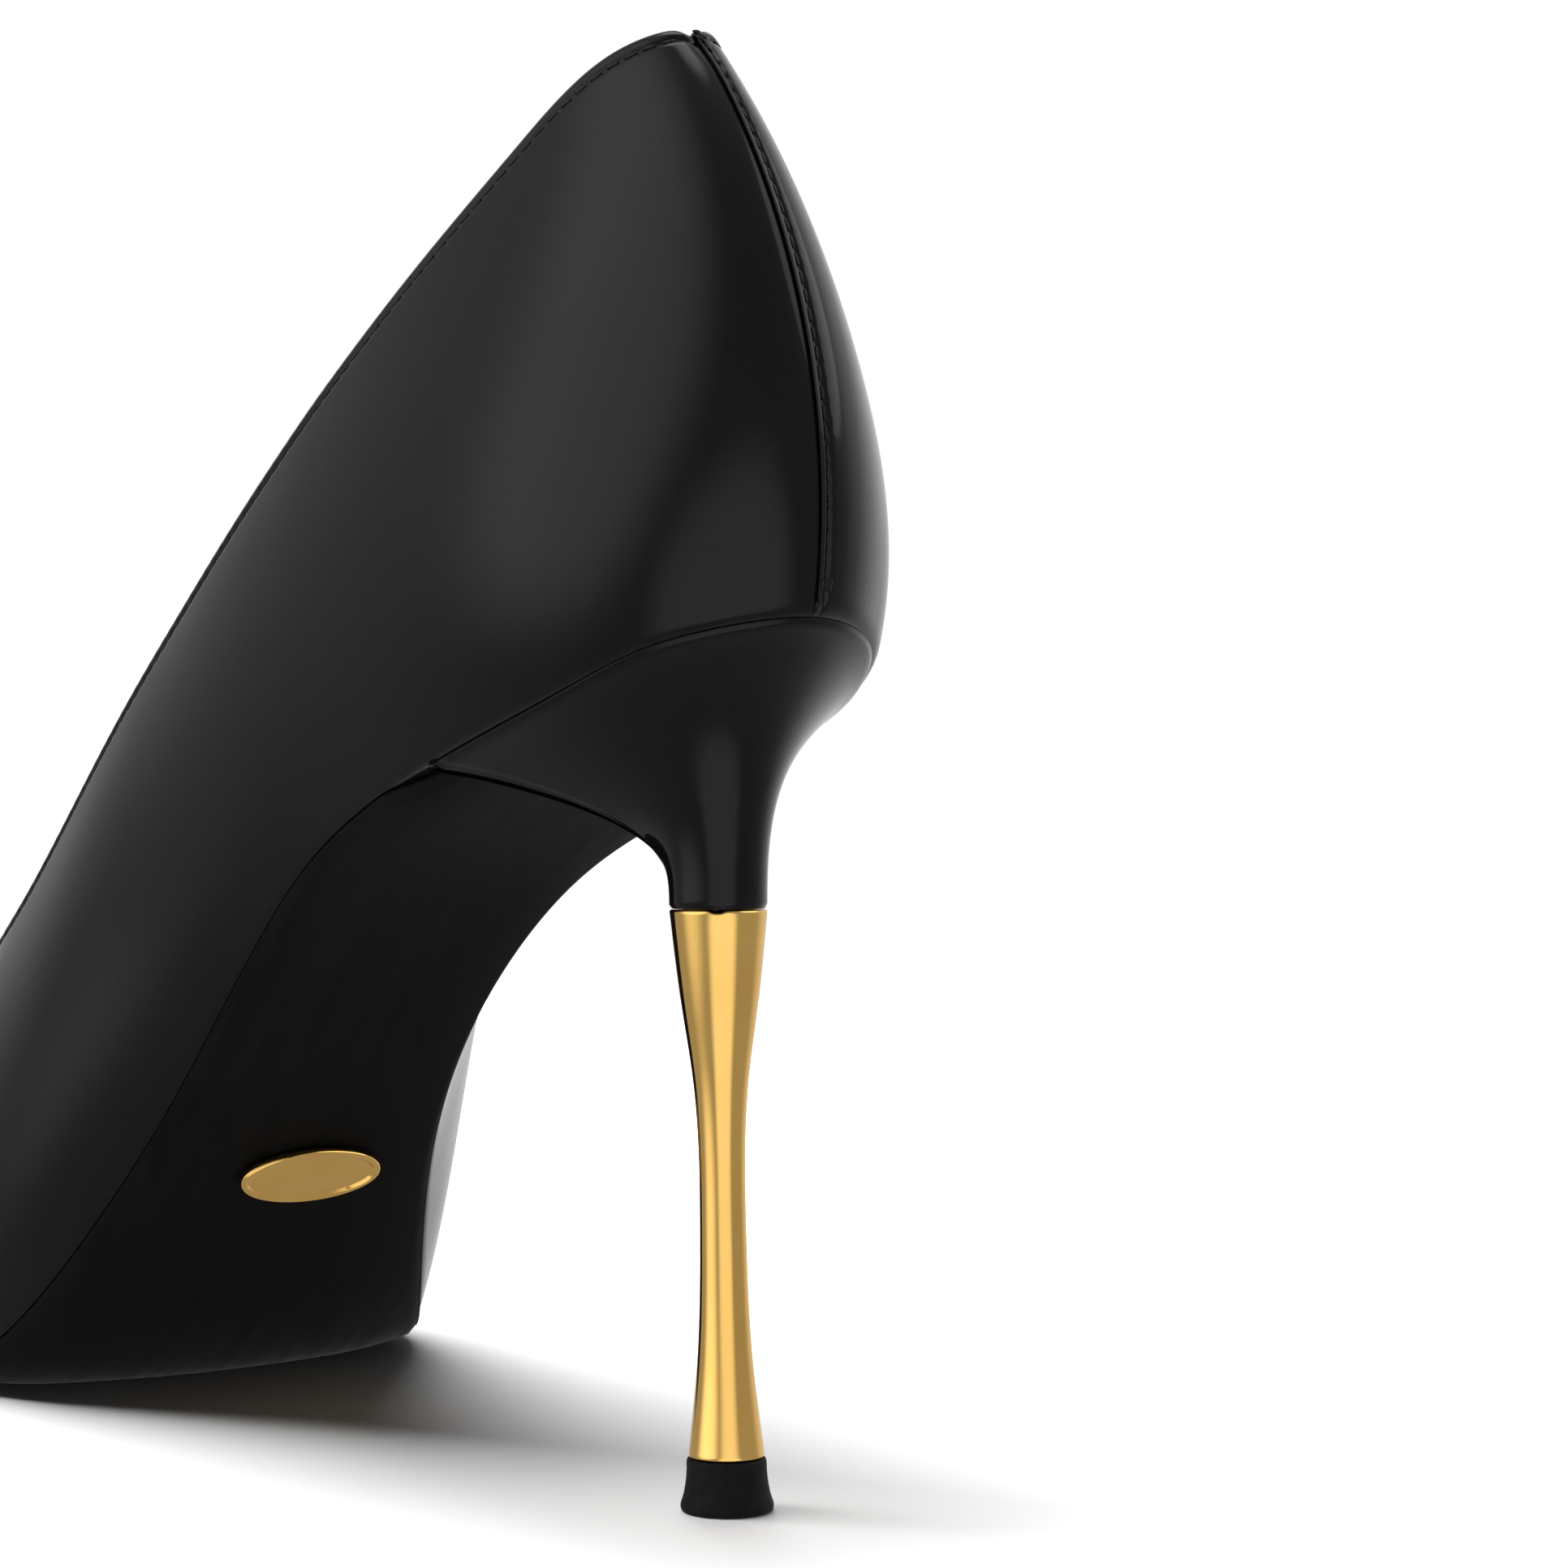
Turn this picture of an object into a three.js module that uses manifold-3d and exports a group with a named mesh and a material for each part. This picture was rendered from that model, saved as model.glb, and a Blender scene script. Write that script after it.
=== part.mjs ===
import * as THREE from 'three';
import { mergeVertices } from 'three/addons/utils/BufferGeometryUtils.js';
import Module from 'manifold-3d';

// A high heel pump for the left foot, in millimetres. While it is built, x runs
// from the back of the counter to the toe, y to the outer side of the foot and
// z up from the floor. The last line moves the origin to the middle of its
// footprint.

// ---- driving dimensions
const upperLength = 246;
const ballWidth = 77;
const heelHeight = 100.6;
const backHeight = 66;
const upperThickness = 1.0;
const stiffenerThickness = 0.9;
const liningThickness = 0.7;
const gripThickness = 0.7;
const tapeThickness = 0.3;
const tapeWidthShare = 0.07;
const lastingMargin = 8;
const boardThickness = 1.8;
const shankThickness = 1.3;
const shankWidth = 11;
const padThickness = 1.6;
const insockThickness = 0.9;
const soleThickness = 3.3;
const treadBevel = 1.3;
const bellyDepth = 2.6;
const treadClearance = 0.4;
const blockHeight = 32.6;
const neckRadius = 5.7;
const waistRadius = 2.65;
const waistHeight = 31;
const sleeveFootRadius = 4.35;
const coverThickness = 0.8;
const liftHeight = 6;
const liftTopRadius = 4.55;
const liftFootRadius = 5.3;
const shaftFootX = 20.8;
const shaftNeckX = 22.6;
const rodDiameter = 2.1;
const rodReach = 12;
const pinLength = 15;
const pinDepth = 3.5;
const screwDiameter = 3.4;
const screwLength = 12;
const nailDiameter = 1.4;
const nailLength = 6.5;
const nailHeadDiameter = 3.2;
const headThickness = 0.8;
const rivetDiameter = 3;
const badgeX = 110;
const badgeY = 5.1;
const badgeLength = 20.6;
const badgeWidth = 9.6;
const badgeThickness = 1.2;
const badgePinDiameter = 1.4;
const badgePinSpacing = 11;
const badgePinLength = 1.5;

// ---- clearances
const gap = 0.3;
const glueLine = 0.3;
const holeClearance = 0.3;

// ---- heights that follow from them
const neckHeight = heelHeight - blockHeight;
const rodTop = neckHeight + rodReach;

// ---- the last: a base size, graded to the driving dimensions
const baseLength = 246;
const baseWidth = 77;
const baseBack = 66;
const along = upperLength / baseLength;
const across = ballWidth / baseWidth;
const above = backHeight / baseBack;

// Height of the feather line over the floor: station, share of the heel height.
const treadLevel = soleThickness + treadClearance;
const bottomKeys = [
  [4, 1], [13.5, 0.965], [22, 0.925], [34, 0.878], [47, 0.832], [60, 0.779], [74, 0.701],
  [88, 0.574], [105, 0.378], [118, 0.228], [130, 0.104], [141, 0.025], [152, -0.003],
  [166, -0.006], [186, 0.002], [214, 0.028], [246, 0.066],
];

// Keys round the last. at: 0 centre back, 1 toe tip, up to 2 on the inner side.
// feather and topline are points (x, y) and (x, y, rise over the feather line);
// low and high are the handles of the curve that joins the two.
const lastKeys = [
  { at: 0, feather: [4.2, 0], topline: [28, 0, 78], low: [-4.3, 0, 23], high: [-19.4, 0, -20.8] },
  { at: 0.07, feather: [9.4, 11.8], topline: [33.6, 7.8, 77], low: [-3, 4, 23], high: [-14, 5.4, -21.5] },
  { at: 0.15, feather: [20.5, 19.6], topline: [43.5, 14.2, 70.5], low: [0.4, 7.4, 22], high: [-8, 7.4, -22] },
  { at: 0.26, feather: [45, 24], topline: [59, 20.8, 61.3], low: [1, 6.8, 20], high: [-4, 6.6, -20] },
  { at: 0.38, feather: [76, 25.6], topline: [81, 25.2, 56.5], low: [0, 6.2, 18], high: [-1, 5, -18] },
  { at: 0.49, feather: [106, 28.5], topline: [106, 27, 63.5], low: [-1, 7, 20], high: [0, 5.6, -20] },
  { at: 0.6, feather: [134, 36.2], topline: [128, 29.6, 65.5], low: [-1, 6.5, 20], high: [-1, 7.4, -24] },
  { at: 0.7, feather: [158, 38.6], topline: [148.5, 31.6, 57.5], low: [0, 5.4, 18], high: [1, 7.6, -20] },
  { at: 0.8, feather: [185, 31.8], topline: [163, 26, 49], low: [1, 4.2, 16], high: [5, 8, -10] },
  { at: 0.88, feather: [212, 19.2], topline: [171.5, 17.4, 44], low: [1, 3.2, 14], high: [12, 7, -6] },
  { at: 0.96, feather: [238.6, 1.6], topline: [176.2, 5.4, 41], low: [0.6, 1.8, 10], high: [22, 3, -8] },
  { at: 1, feather: [246, -8.6], topline: [176.8, -2, 40.4], low: [2, -0.2, 9], high: [25, -2, -9] },
  { at: 1.04, feather: [238.4, -17.2], topline: [176, -9.6, 40.6], low: [0.6, -1.6, 10], high: [22, -4, -8] },
  { at: 1.12, feather: [211, -27.6], topline: [171, -20.4, 42.6], low: [1, -2.8, 13], high: [12, -7, -6] },
  { at: 1.2, feather: [184, -35], topline: [162, -27.6, 47.2], low: [1, -4, 15], high: [5, -8, -9] },
  { at: 1.3, feather: [157, -36.4], topline: [147.5, -30.6, 57], low: [0, -4.6, 16], high: [1, -7.5, -20] },
  { at: 1.4, feather: [130, -24], topline: [128, -28.8, 67], low: [0, -6.6, 16], high: [0, -6.4, -24] },
  { at: 1.51, feather: [102, -12.4], topline: [105, -26, 63], low: [0, -7, 18], high: [0, -5, -22] },
  { at: 1.62, feather: [74, -15], topline: [81, -24.4, 57.5], low: [0, -7.4, 18], high: [0, -4, -20] },
  { at: 1.74, feather: [44, -21.6], topline: [59, -20.8, 61.3], low: [1, -6.8, 20], high: [-4, -6.4, -20] },
  { at: 1.85, feather: [20.5, -19.6], topline: [43.5, -14.2, 70.5], low: [0.4, -7, 22], high: [-8, -7.2, -22] },
  { at: 1.93, feather: [9.4, -11.8], topline: [33.6, -7.8, 77], low: [-3, -4, 23], high: [-14, -5.4, -21.5] },
];

// ---- mesh helpers

// Natural cubic spline through (xs, ys).
function spline(xs, ys) {
  const last = xs.length - 1;
  const bend = new Array(last + 1).fill(0);
  const load = new Array(last + 1).fill(0);
  for (let i = 1; i < last; i++) {
    const share = (xs[i] - xs[i - 1]) / (xs[i + 1] - xs[i - 1]);
    const pivot = share * bend[i - 1] + 2;
    const before = (ys[i] - ys[i - 1]) / (xs[i] - xs[i - 1]);
    const after = (ys[i + 1] - ys[i]) / (xs[i + 1] - xs[i]);
    bend[i] = (share - 1) / pivot;
    load[i] = ((6 * (after - before)) / (xs[i + 1] - xs[i - 1]) - share * load[i - 1]) / pivot;
  }
  for (let i = last - 1; i >= 0; i--) bend[i] = bend[i] * bend[i + 1] + load[i];
  return (x) => {
    let i = 0;
    while (i < last - 1 && x > xs[i + 1]) i++;
    const step = xs[i + 1] - xs[i];
    const a = (xs[i + 1] - x) / step;
    const b = (x - xs[i]) / step;
    const curl = (a * a * a - a) * bend[i] + (b * b * b - b) * bend[i + 1];
    return a * ys[i] + b * ys[i + 1] + (curl * step * step) / 6;
  };
}

// The same, closed round the last: at runs from 0 to 2 and starts again.
function ringSpline(values) {
  const at = lastKeys.map((key) => key.at);
  const ats = [...at.slice(-5).map((a) => a - 2), ...at, ...at.slice(0, 5).map((a) => a + 2)];
  const ys = [...values.slice(-5), ...values, ...values.slice(0, 5)];
  const curve = spline(ats, ys);
  return (a) => curve(a - 2 * Math.floor(a / 2));
}

const bottomShare = spline(bottomKeys.map((key) => key[0] * along), bottomKeys.map((key) => key[1]));

function featherHeight(x) {
  return treadLevel + (heelHeight - treadLevel) * bottomShare(x);
}

function featherSlope(x) {
  return featherHeight(x + 0.5) - featherHeight(x - 0.5);
}

const ring = {};
for (const part of ['feather', 'topline', 'low', 'high']) {
  const grade = [along, across, above];
  ring[part] = lastKeys[0][part].map((_, c) => ringSpline(lastKeys.map((key) => key[part][c] * grade[c])));
}

function ringVector(part, at) {
  return new THREE.Vector3(...ring[part].map((curve) => curve(at)));
}

function featherPoint(at) {
  const x = ring.feather[0](at);
  return new THREE.Vector3(x, ring.feather[1](at), featherHeight(x));
}

// Point of the last's outside: v runs from 0 on the feather line to 1 on the topline.
function lastPoint(at, v) {
  const foot = featherPoint(at);
  const top = ringVector('topline', at);
  top.z += featherHeight(top.x);
  const low = foot.clone().add(ringVector('low', at));
  const high = top.clone().add(ringVector('high', at));
  return new THREE.CubicBezierCurve3(foot, low, high, top).getPoint(v);
}

function lastNormal(at, v) {
  const step = 0.004;
  const up = lastPoint(at, Math.min(1, v + step)).sub(lastPoint(at, Math.max(0, v - step)));
  const round = lastPoint(at + step, v).sub(lastPoint(at - step, v));
  return up.cross(round).normalize();
}

// Point at a depth under the last's outside.
function underLast(at, v, depth) {
  return lastPoint(at, v).addScaledVector(lastNormal(at, v), -depth);
}

// Point of the feather outline, moved in by a margin.
function insetFeather(at, inset) {
  const step = 0.004;
  const run = featherPoint(at + step).sub(featherPoint(at - step)).setZ(0).normalize();
  const foot = featherPoint(at);
  foot.x += run.y * inset;
  foot.y -= run.x * inset;
  foot.z = featherHeight(foot.x);
  return foot;
}

// Closed body from triangles, turned so that its faces point out.
function solid(points, faces) {
  let volume = 0;
  const cross = new THREE.Vector3();
  for (const [a, b, c] of faces) volume += points[a].dot(cross.crossVectors(points[b], points[c]));
  const position = [];
  for (const face of faces) {
    const turned = volume < 0 ? [face[0], face[2], face[1]] : face;
    for (const i of turned) position.push(points[i].x, points[i].y, points[i].z);
  }
  const geometry = new THREE.BufferGeometry();
  geometry.setAttribute('position', new THREE.Float32BufferAttribute(position, 3));
  return geometry;
}

// Sheet with thickness: front[i][k] and back[i][k] are its two faces.
function sheet(front, back, closed) {
  const stations = front.length;
  const columns = front[0].length;
  const points = [...front.flat(), ...back.flat()];
  const faces = [];
  const id = (side, i, k) => side * stations * columns + (i % stations) * columns + k;
  const quad = (a, b, c, d) => faces.push([a, b, c], [a, c, d]);
  for (let i = 0; i < (closed ? stations : stations - 1); i++) {
    for (let k = 0; k < columns - 1; k++) {
      quad(id(0, i, k), id(0, i + 1, k), id(0, i + 1, k + 1), id(0, i, k + 1));
      quad(id(1, i, k), id(1, i, k + 1), id(1, i + 1, k + 1), id(1, i + 1, k));
    }
    quad(id(0, i, 0), id(1, i, 0), id(1, i + 1, 0), id(0, i + 1, 0));
    const end = columns - 1;
    quad(id(0, i, end), id(0, i + 1, end), id(1, i + 1, end), id(1, i, end));
  }
  for (let k = 0; k < columns - 1 && !closed; k++) {
    const end = stations - 1;
    quad(id(0, 0, k), id(0, 0, k + 1), id(1, 0, k + 1), id(1, 0, k));
    quad(id(0, end, k), id(1, end, k), id(1, end, k + 1), id(0, end, k + 1));
  }
  return solid(points, faces);
}

// Body through closed loops of points, stacked and closed by a fan at each end.
function loft(loops) {
  const count = loops[0].length;
  const points = loops.flat();
  const faces = [];
  for (let j = 0; j < loops.length - 1; j++) {
    for (let i = 0; i < count; i++) {
      const a = j * count + i;
      const b = j * count + ((i + 1) % count);
      faces.push([a, b, b + count], [a, b + count, a + count]);
    }
  }
  for (const j of [0, loops.length - 1]) {
    const centre = new THREE.Vector3();
    for (const point of loops[j]) centre.addScaledVector(point, 1 / count);
    points.push(centre);
    for (let i = 0; i < count; i++) {
      const a = j * count + i;
      const b = j * count + ((i + 1) % count);
      faces.push(j === 0 ? [b, a, points.length - 1] : [a, b, points.length - 1]);
    }
  }
  return solid(points, faces);
}

// ---- cuts and joins

const wasm = await Module();
wasm.setup();

function toManifold(geometry) {
  const bare = geometry.clone();
  bare.deleteAttribute('normal');
  bare.deleteAttribute('uv');
  const merged = mergeVertices(bare, 1e-4);
  const vertProperties = new Float32Array(merged.attributes.position.array);
  const triVerts = new Uint32Array(merged.index.array);
  return new wasm.Manifold(new wasm.Mesh({ numProp: 3, vertProperties, triVerts }));
}

function fromManifold(manifold) {
  const mesh = manifold.getMesh();
  const geometry = new THREE.BufferGeometry();
  geometry.setAttribute('position', new THREE.BufferAttribute(mesh.vertProperties, 3));
  geometry.setIndex(new THREE.BufferAttribute(mesh.triVerts, 1));
  return geometry;
}

function cut(geometry, tools) {
  let body = toManifold(geometry);
  for (const tool of tools) body = body.subtract(toManifold(tool));
  return fromManifold(body);
}

function join(geometries) {
  let body = toManifold(geometries[0]);
  for (const geometry of geometries.slice(1)) body = body.add(toManifold(geometry));
  return fromManifold(body);
}

// ---- the grid that the layers of the upper share
const sideStations = 34;
const columnShares = [0, 0.07, 0.2, 0.35, 0.5, 0.65, 0.8, 0.93, 1];

const stationAt = (i) => i / sideStations;

// A layer stays clear of the lasting margin that is turned in under it.
function overMargin(point) {
  return point.setZ(Math.max(point.z, featherHeight(point.x) + upperThickness + gap));
}

const layerPoint = (at, v, depth) => overMargin(underLast(at, v, depth));

// One layer of the upper: stations from first to last, columns from low to high.
function layer(first, last, low, high, depth, thickness) {
  const front = [];
  const back = [];
  for (let i = first; i <= last; i++) {
    const shares = columnShares.slice(low, high + 1);
    front.push(shares.map((v) => layerPoint(stationAt(i), v, depth(v))));
    back.push(shares.map((v) => layerPoint(stationAt(i), v, depth(v) + thickness)));
  }
  return sheet(front, back, false);
}

const stiffenerDepth = upperThickness + glueLine;
const liningDepth = stiffenerDepth + stiffenerThickness + glueLine;
const rimDepth = upperThickness + glueLine + tapeThickness + glueLine;

// The lining closes up to the upper towards the topline.
function liningUnder(v) {
  const near = THREE.MathUtils.smoothstep(v, 0.75, 0.93);
  return THREE.MathUtils.lerp(liningDepth, rimDepth, near);
}

function marginAt(at) {
  const fromToe = Math.abs(at - 1);
  return lastingMargin * THREE.MathUtils.lerp(0.5, 1, THREE.MathUtils.smoothstep(fromToe, 0.02, 0.14));
}

function lift(point, rise) {
  return point.clone().setZ(point.z + rise);
}

// The patent leather upper, closed round the foot and lasted in under the board.
function makeUpper() {
  const front = [];
  const back = [];
  for (let i = 0; i < 2 * sideStations; i++) {
    const at = stationAt(i);
    const edge = insetFeather(at, marginAt(at));
    const outer = [edge];
    const inner = [lift(edge, upperThickness)];
    for (const v of columnShares) {
      outer.push(lastPoint(at, v));
      inner.push(v === 0 ? lift(insetFeather(at, upperThickness), upperThickness) : underLast(at, v, upperThickness));
    }
    front.push(outer);
    back.push(inner);
  }
  return sheet(front, back, true);
}

const liningSplit = 20;
const counterReach = 11;
const puffReach = 7;
const gripReach = 4;
const top = columnShares.length - 1;

function makeQuarterLining() {
  return layer(-liningSplit, liningSplit, 1, top, liningUnder, liningThickness);
}

function makeVampLining() {
  const front = [];
  const back = [];
  const start = stationAt(liningSplit) + gap / upperLength;
  const steps = 2 * (sideStations - liningSplit);
  for (let i = 0; i <= steps; i++) {
    const at = THREE.MathUtils.lerp(start, 2 - start, i / steps);
    const shares = columnShares.slice(1);
    front.push(shares.map((v) => layerPoint(at, v, liningUnder(v))));
    back.push(shares.map((v) => layerPoint(at, v, liningUnder(v) + liningThickness)));
  }
  return sheet(front, back, false);
}

function makeHeelCounter() {
  return layer(-counterReach, counterReach, 1, top - 3, () => stiffenerDepth, stiffenerThickness);
}

function makeToePuff() {
  const first = sideStations - puffReach;
  return layer(first, sideStations + puffReach, 1, top - 4, () => stiffenerDepth, stiffenerThickness);
}

function makeHeelGrip() {
  const depth = (v) => liningUnder(v) + liningThickness + glueLine;
  return layer(-gripReach, gripReach, 3, top - 1, depth, gripThickness);
}

// A narrow tape under the topline, between the upper and the lining.
function makeToplineTape() {
  const front = [];
  const back = [];
  const depth = upperThickness + glueLine;
  for (let i = 0; i < 2 * sideStations; i++) {
    const shares = [1 - tapeWidthShare, 1];
    front.push(shares.map((v) => underLast(stationAt(i), v, depth)));
    back.push(shares.map((v) => underLast(stationAt(i), v, depth + tapeThickness)));
  }
  return sheet(front, back, true);
}

// ---- plates that follow the bottom of the last

const soleShares = [0, 0.12, 0.3, 0.5, 0.7, 0.88, 1];
const plateShares = [0, 0.15, 0.5, 0.85, 1];

// The walls of the toe lean in, so what lies between them draws in with them.
const toeDrawIn = 3.2;

function toeEase(at) {
  return toeDrawIn * THREE.MathUtils.smoothstep(at, 0.78, 0.95);
}

// A rib across the bottom: points at shares of the way from the inner to the outer side.
function rib(at, inset, shares) {
  const outer = insetFeather(at, inset);
  const inner = insetFeather(2 - at, inset);
  return shares.map((share) => {
    const point = inner.clone().lerp(outer, share);
    return point.setZ(featherHeight(point.x));
  });
}

// Plate from ribs, between two heights over the feather line.
function ribPlate(ribs, under, over) {
  const upperFace = ribs.map((points) => points.map((p) => lift(p, over(p.x))));
  const lowerFace = ribs.map((points) => points.map((p) => lift(p, under(p.x))));
  return sheet(upperFace, lowerFace, false);
}

function plate(first, last, inset, under, over) {
  const ribs = [];
  for (let i = first; i <= last; i++) {
    const at = stationAt(i);
    ribs.push(rib(at, inset + toeEase(at), plateShares));
  }
  return ribPlate(ribs, under, over);
}

const boardInset = liningDepth + liningThickness + gap;
const boardUnder = shankThickness + gap;
const boardOver = boardUnder + boardThickness;
const boardFirst = 2;
const boardLast = 32;

// How thick the pads stand at a station: a heel pad and a ball pad, with nothing between.
function padRise(x) {
  const { smoothstep } = THREE.MathUtils;
  const heel = 1 - smoothstep(x, 44 * along, 66 * along);
  const ball = smoothstep(x, 108 * along, 128 * along) * (1 - smoothstep(x, 168 * along, 186 * along));
  return padThickness * Math.max(heel, ball);
}

const padUnder = boardOver + glueLine;
const padFloor = 0.15;
const padInset = 1.5;
const insockInset = 0.4;

function padBody(first, last) {
  return plate(first, last, boardInset + padInset, () => padUnder, (x) => padUnder + padFloor + padRise(x));
}

function makeInsoleBoard(holes) {
  return cut(plate(boardFirst, boardLast, boardInset, () => boardUnder, () => boardOver), holes);
}

function makeInsock() {
  const under = (x) => padUnder + padFloor + glueLine + padRise(x);
  return plate(boardFirst, boardLast, boardInset + insockInset, under, (x) => under(x) + insockThickness);
}

function makeBottomFiller() {
  const inset = lastingMargin + 2 * gap;
  return plate(21, 30, inset, () => glueLine / 2, () => upperThickness);
}

// Middle of the sole at a distance from the heel.
function midline(x) {
  let low = 0;
  let high = 1;
  for (let i = 0; i < 24; i++) {
    const middle = (low + high) / 2;
    if ((ring.feather[0](middle) + ring.feather[0](2 - middle)) / 2 < x) low = middle;
    else high = middle;
  }
  return (ring.feather[1](low) + ring.feather[1](2 - low)) / 2;
}

// The shank follows the middle of the waist, between two stations of the board.
const shankFirst = 4;
const shankLast = 20;

function makeShank(holes) {
  const ribs = [];
  for (let i = shankFirst; i <= shankLast; i++) {
    const at = stationAt(i);
    const reach = shankWidth / insetFeather(at, 0).distanceTo(insetFeather(2 - at, 0));
    const shares = [-0.5, -0.17, 0.17, 0.5].map((share) => 0.5 + share * reach);
    ribs.push(rib(at, 0, shares));
  }
  return cut(ribPlate(ribs, () => 0, () => shankThickness), holes);
}

// ---- outsole

const soleRearAt = 0.2;
const wingAt = 0.272;
const soleSteps = 30;

// The sole tucks in between the wings of the heel and comes out to the edge ahead of them.
const soleTuck = 3.4;
const soleEdgeInset = 0.3;

function soleInset(at) {
  return THREE.MathUtils.lerp(soleTuck, soleEdgeInset, THREE.MathUtils.smoothstep(at, wingAt - 0.004, wingAt + 0.035));
}

// The underside bellies down behind the tread and is thinner along the waist.
function soleBottom(x, share) {
  const { smoothstep } = THREE.MathUtils;
  const middle = 1 - 4 * (share - 0.5) ** 2;
  const belly = smoothstep(x, 100 * along, 130 * along) * (1 - smoothstep(x, 136 * along, 156 * along));
  const edge = Math.max(0, Math.abs(share - 0.5) * 2 - 0.6) / 0.4;
  const thinning = 0.7 * (1 - smoothstep(x, 110 * along, 140 * along));
  const level = featherHeight(x) - glueLine - soleThickness + thinning - bellyDepth * belly * middle;
  return Math.max(0, level) + treadBevel * edge * edge;
}

function soleBody(grow, drop) {
  const upperFace = [];
  const lowerFace = [];
  for (let i = 0; i <= soleSteps; i++) {
    const at = THREE.MathUtils.lerp(soleRearAt, 0.988, i / soleSteps);
    const points = rib(at, soleInset(at) - grow, soleShares);
    upperFace.push(points.map((p) => lift(p, drop - glueLine)));
    lowerFace.push(points.map((p, k) => p.clone().setZ(soleBottom(p.x, soleShares[k]) - drop)));
  }
  if (grow > 0) {
    for (const face of [upperFace, lowerFace]) face.unshift(face[0].map((p) => new THREE.Vector3(p.x - grow, p.y, p.z)));
  }
  return sheet(upperFace, lowerFace, false);
}

// ---- heel

// Outline of the shaft: round at the back, flat on the breast. turn: 0 back, 0.5 breast.
const flatCorner = THREE.MathUtils.degToRad(143);
const cornerTurn = 0.36;

function shaftOutline(turn) {
  const side = turn <= 0.5 ? 1 : -1;
  const t = turn <= 0.5 ? turn : 1 - turn;
  if (t <= cornerTurn) {
    const angle = (t / cornerTurn) * flatCorner;
    return [-Math.cos(angle), side * Math.sin(angle)];
  }
  const rest = (t - cornerTurn) / (0.5 - cornerTurn);
  return [-Math.cos(flatCorner), side * Math.sin(flatCorner) * (1 - rest)];
}

// Outline of the heel's top: the feather line to the wing tips, then across the breast.
function seatOutline(turn) {
  const outer = turn <= 0.5;
  const t = outer ? turn : 1 - turn;
  const at = Math.min(1, t / cornerTurn) * wingAt;
  const rim = featherPoint(outer ? at : 2 - at);
  if (t <= cornerTurn) return rim;
  const rest = (t - cornerTurn) / (0.5 - cornerTurn);
  const middle = new THREE.Vector3(46 * along, 1, 0);
  middle.z = featherHeight(middle.x);
  return rim.lerp(middle, rest);
}

const heelTurns = 32;
const heelLevels = [0, 0.3, 0.52, 0.68, 0.8, 0.9, 1];
const flare = 2.8;

function shaftCentre(z) {
  return THREE.MathUtils.lerp(shaftFootX, shaftNeckX, z / neckHeight);
}

function heelPoint(turn, level) {
  const [dx, dy] = shaftOutline(turn);
  const rim = seatOutline(turn);
  const share = level ** flare;
  const neckX = shaftCentre(neckHeight) + dx * neckRadius;
  const z = THREE.MathUtils.lerp(neckHeight, rim.z, level);
  return new THREE.Vector3(
    THREE.MathUtils.lerp(neckX, rim.x, share),
    THREE.MathUtils.lerp(dy * neckRadius, rim.y, share),
    z,
  );
}

// A loop of the heel at one level, moved in square to its own outline.
function heelLoop(level, inset) {
  const loop = [];
  for (let i = 0; i < heelTurns; i++) loop.push(heelPoint(i / heelTurns, level));
  return loop.map((point, i) => {
    const before = loop[(i + heelTurns - 1) % heelTurns];
    const after = loop[(i + 1) % heelTurns];
    const run = after.clone().sub(before).setZ(0).normalize();
    return new THREE.Vector3(point.x + run.y * inset, point.y - run.x * inset, point.z);
  });
}

function makeHeelBlock(cuts) {
  const inset = coverThickness + gap;
  const loops = heelLevels.map((level) => heelLoop(level, inset));
  return cut(loft(loops), cuts);
}

function makeHeelCover(cuts) {
  const front = [];
  const back = [];
  const outer = heelLevels.map((level) => heelLoop(level, 0));
  const inner = heelLevels.map((level) => heelLoop(level, coverThickness));
  for (let i = 0; i < heelTurns; i++) {
    front.push(outer.map((loop) => loop[i]));
    back.push(inner.map((loop) => loop[i]));
  }
  return cut(sheet(front, back, true), cuts);
}

// The room over the heel, down to the glue line under the seat.
const roomMargin = 3;

function makeSeatRoom() {
  const ribs = [0.004];
  while (ribs[ribs.length - 1] < 0.34) ribs.push(ribs[ribs.length - 1] + 0.024);
  return ribPlate(ribs.map((at) => rib(at, -roomMargin, plateShares)), () => -glueLine, () => backHeight);
}

// Radius of the metal sleeve over its height.
const sleeveFoot = liftHeight + gap;
const sleeveTop = neckHeight - gap;
const sleeveRadius = spline(
  [sleeveFoot, 0.55 * waistHeight, waistHeight, 0.5 * (waistHeight + neckHeight), 0.82 * neckHeight, sleeveTop],
  [sleeveFootRadius, waistRadius + 0.5, waistRadius, waistRadius + 0.65, waistRadius + 1.55, neckRadius],
);

function shaftLoop(z, radius, count) {
  const loop = [];
  for (let i = 0; i < count; i++) {
    const [dx, dy] = shaftOutline(i / count);
    loop.push(new THREE.Vector3(shaftCentre(z) + dx * radius, dy * radius, z));
  }
  return loop;
}

const shaftLean = Math.atan2(shaftNeckX - shaftFootX, neckHeight);

// Round bar along the leaning line of the shaft, between two heights.
function shaftBar(diameter, low, high) {
  const bar = new THREE.CylinderGeometry(diameter / 2, diameter / 2, (high - low) / Math.cos(shaftLean), 12);
  bar.rotateX(Math.PI / 2);
  bar.rotateY(shaftLean);
  const middle = (low + high) / 2;
  bar.translate(shaftCentre(middle), 0, middle);
  return bar;
}

const boreDiameter = rodDiameter + 2 * holeClearance;

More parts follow.
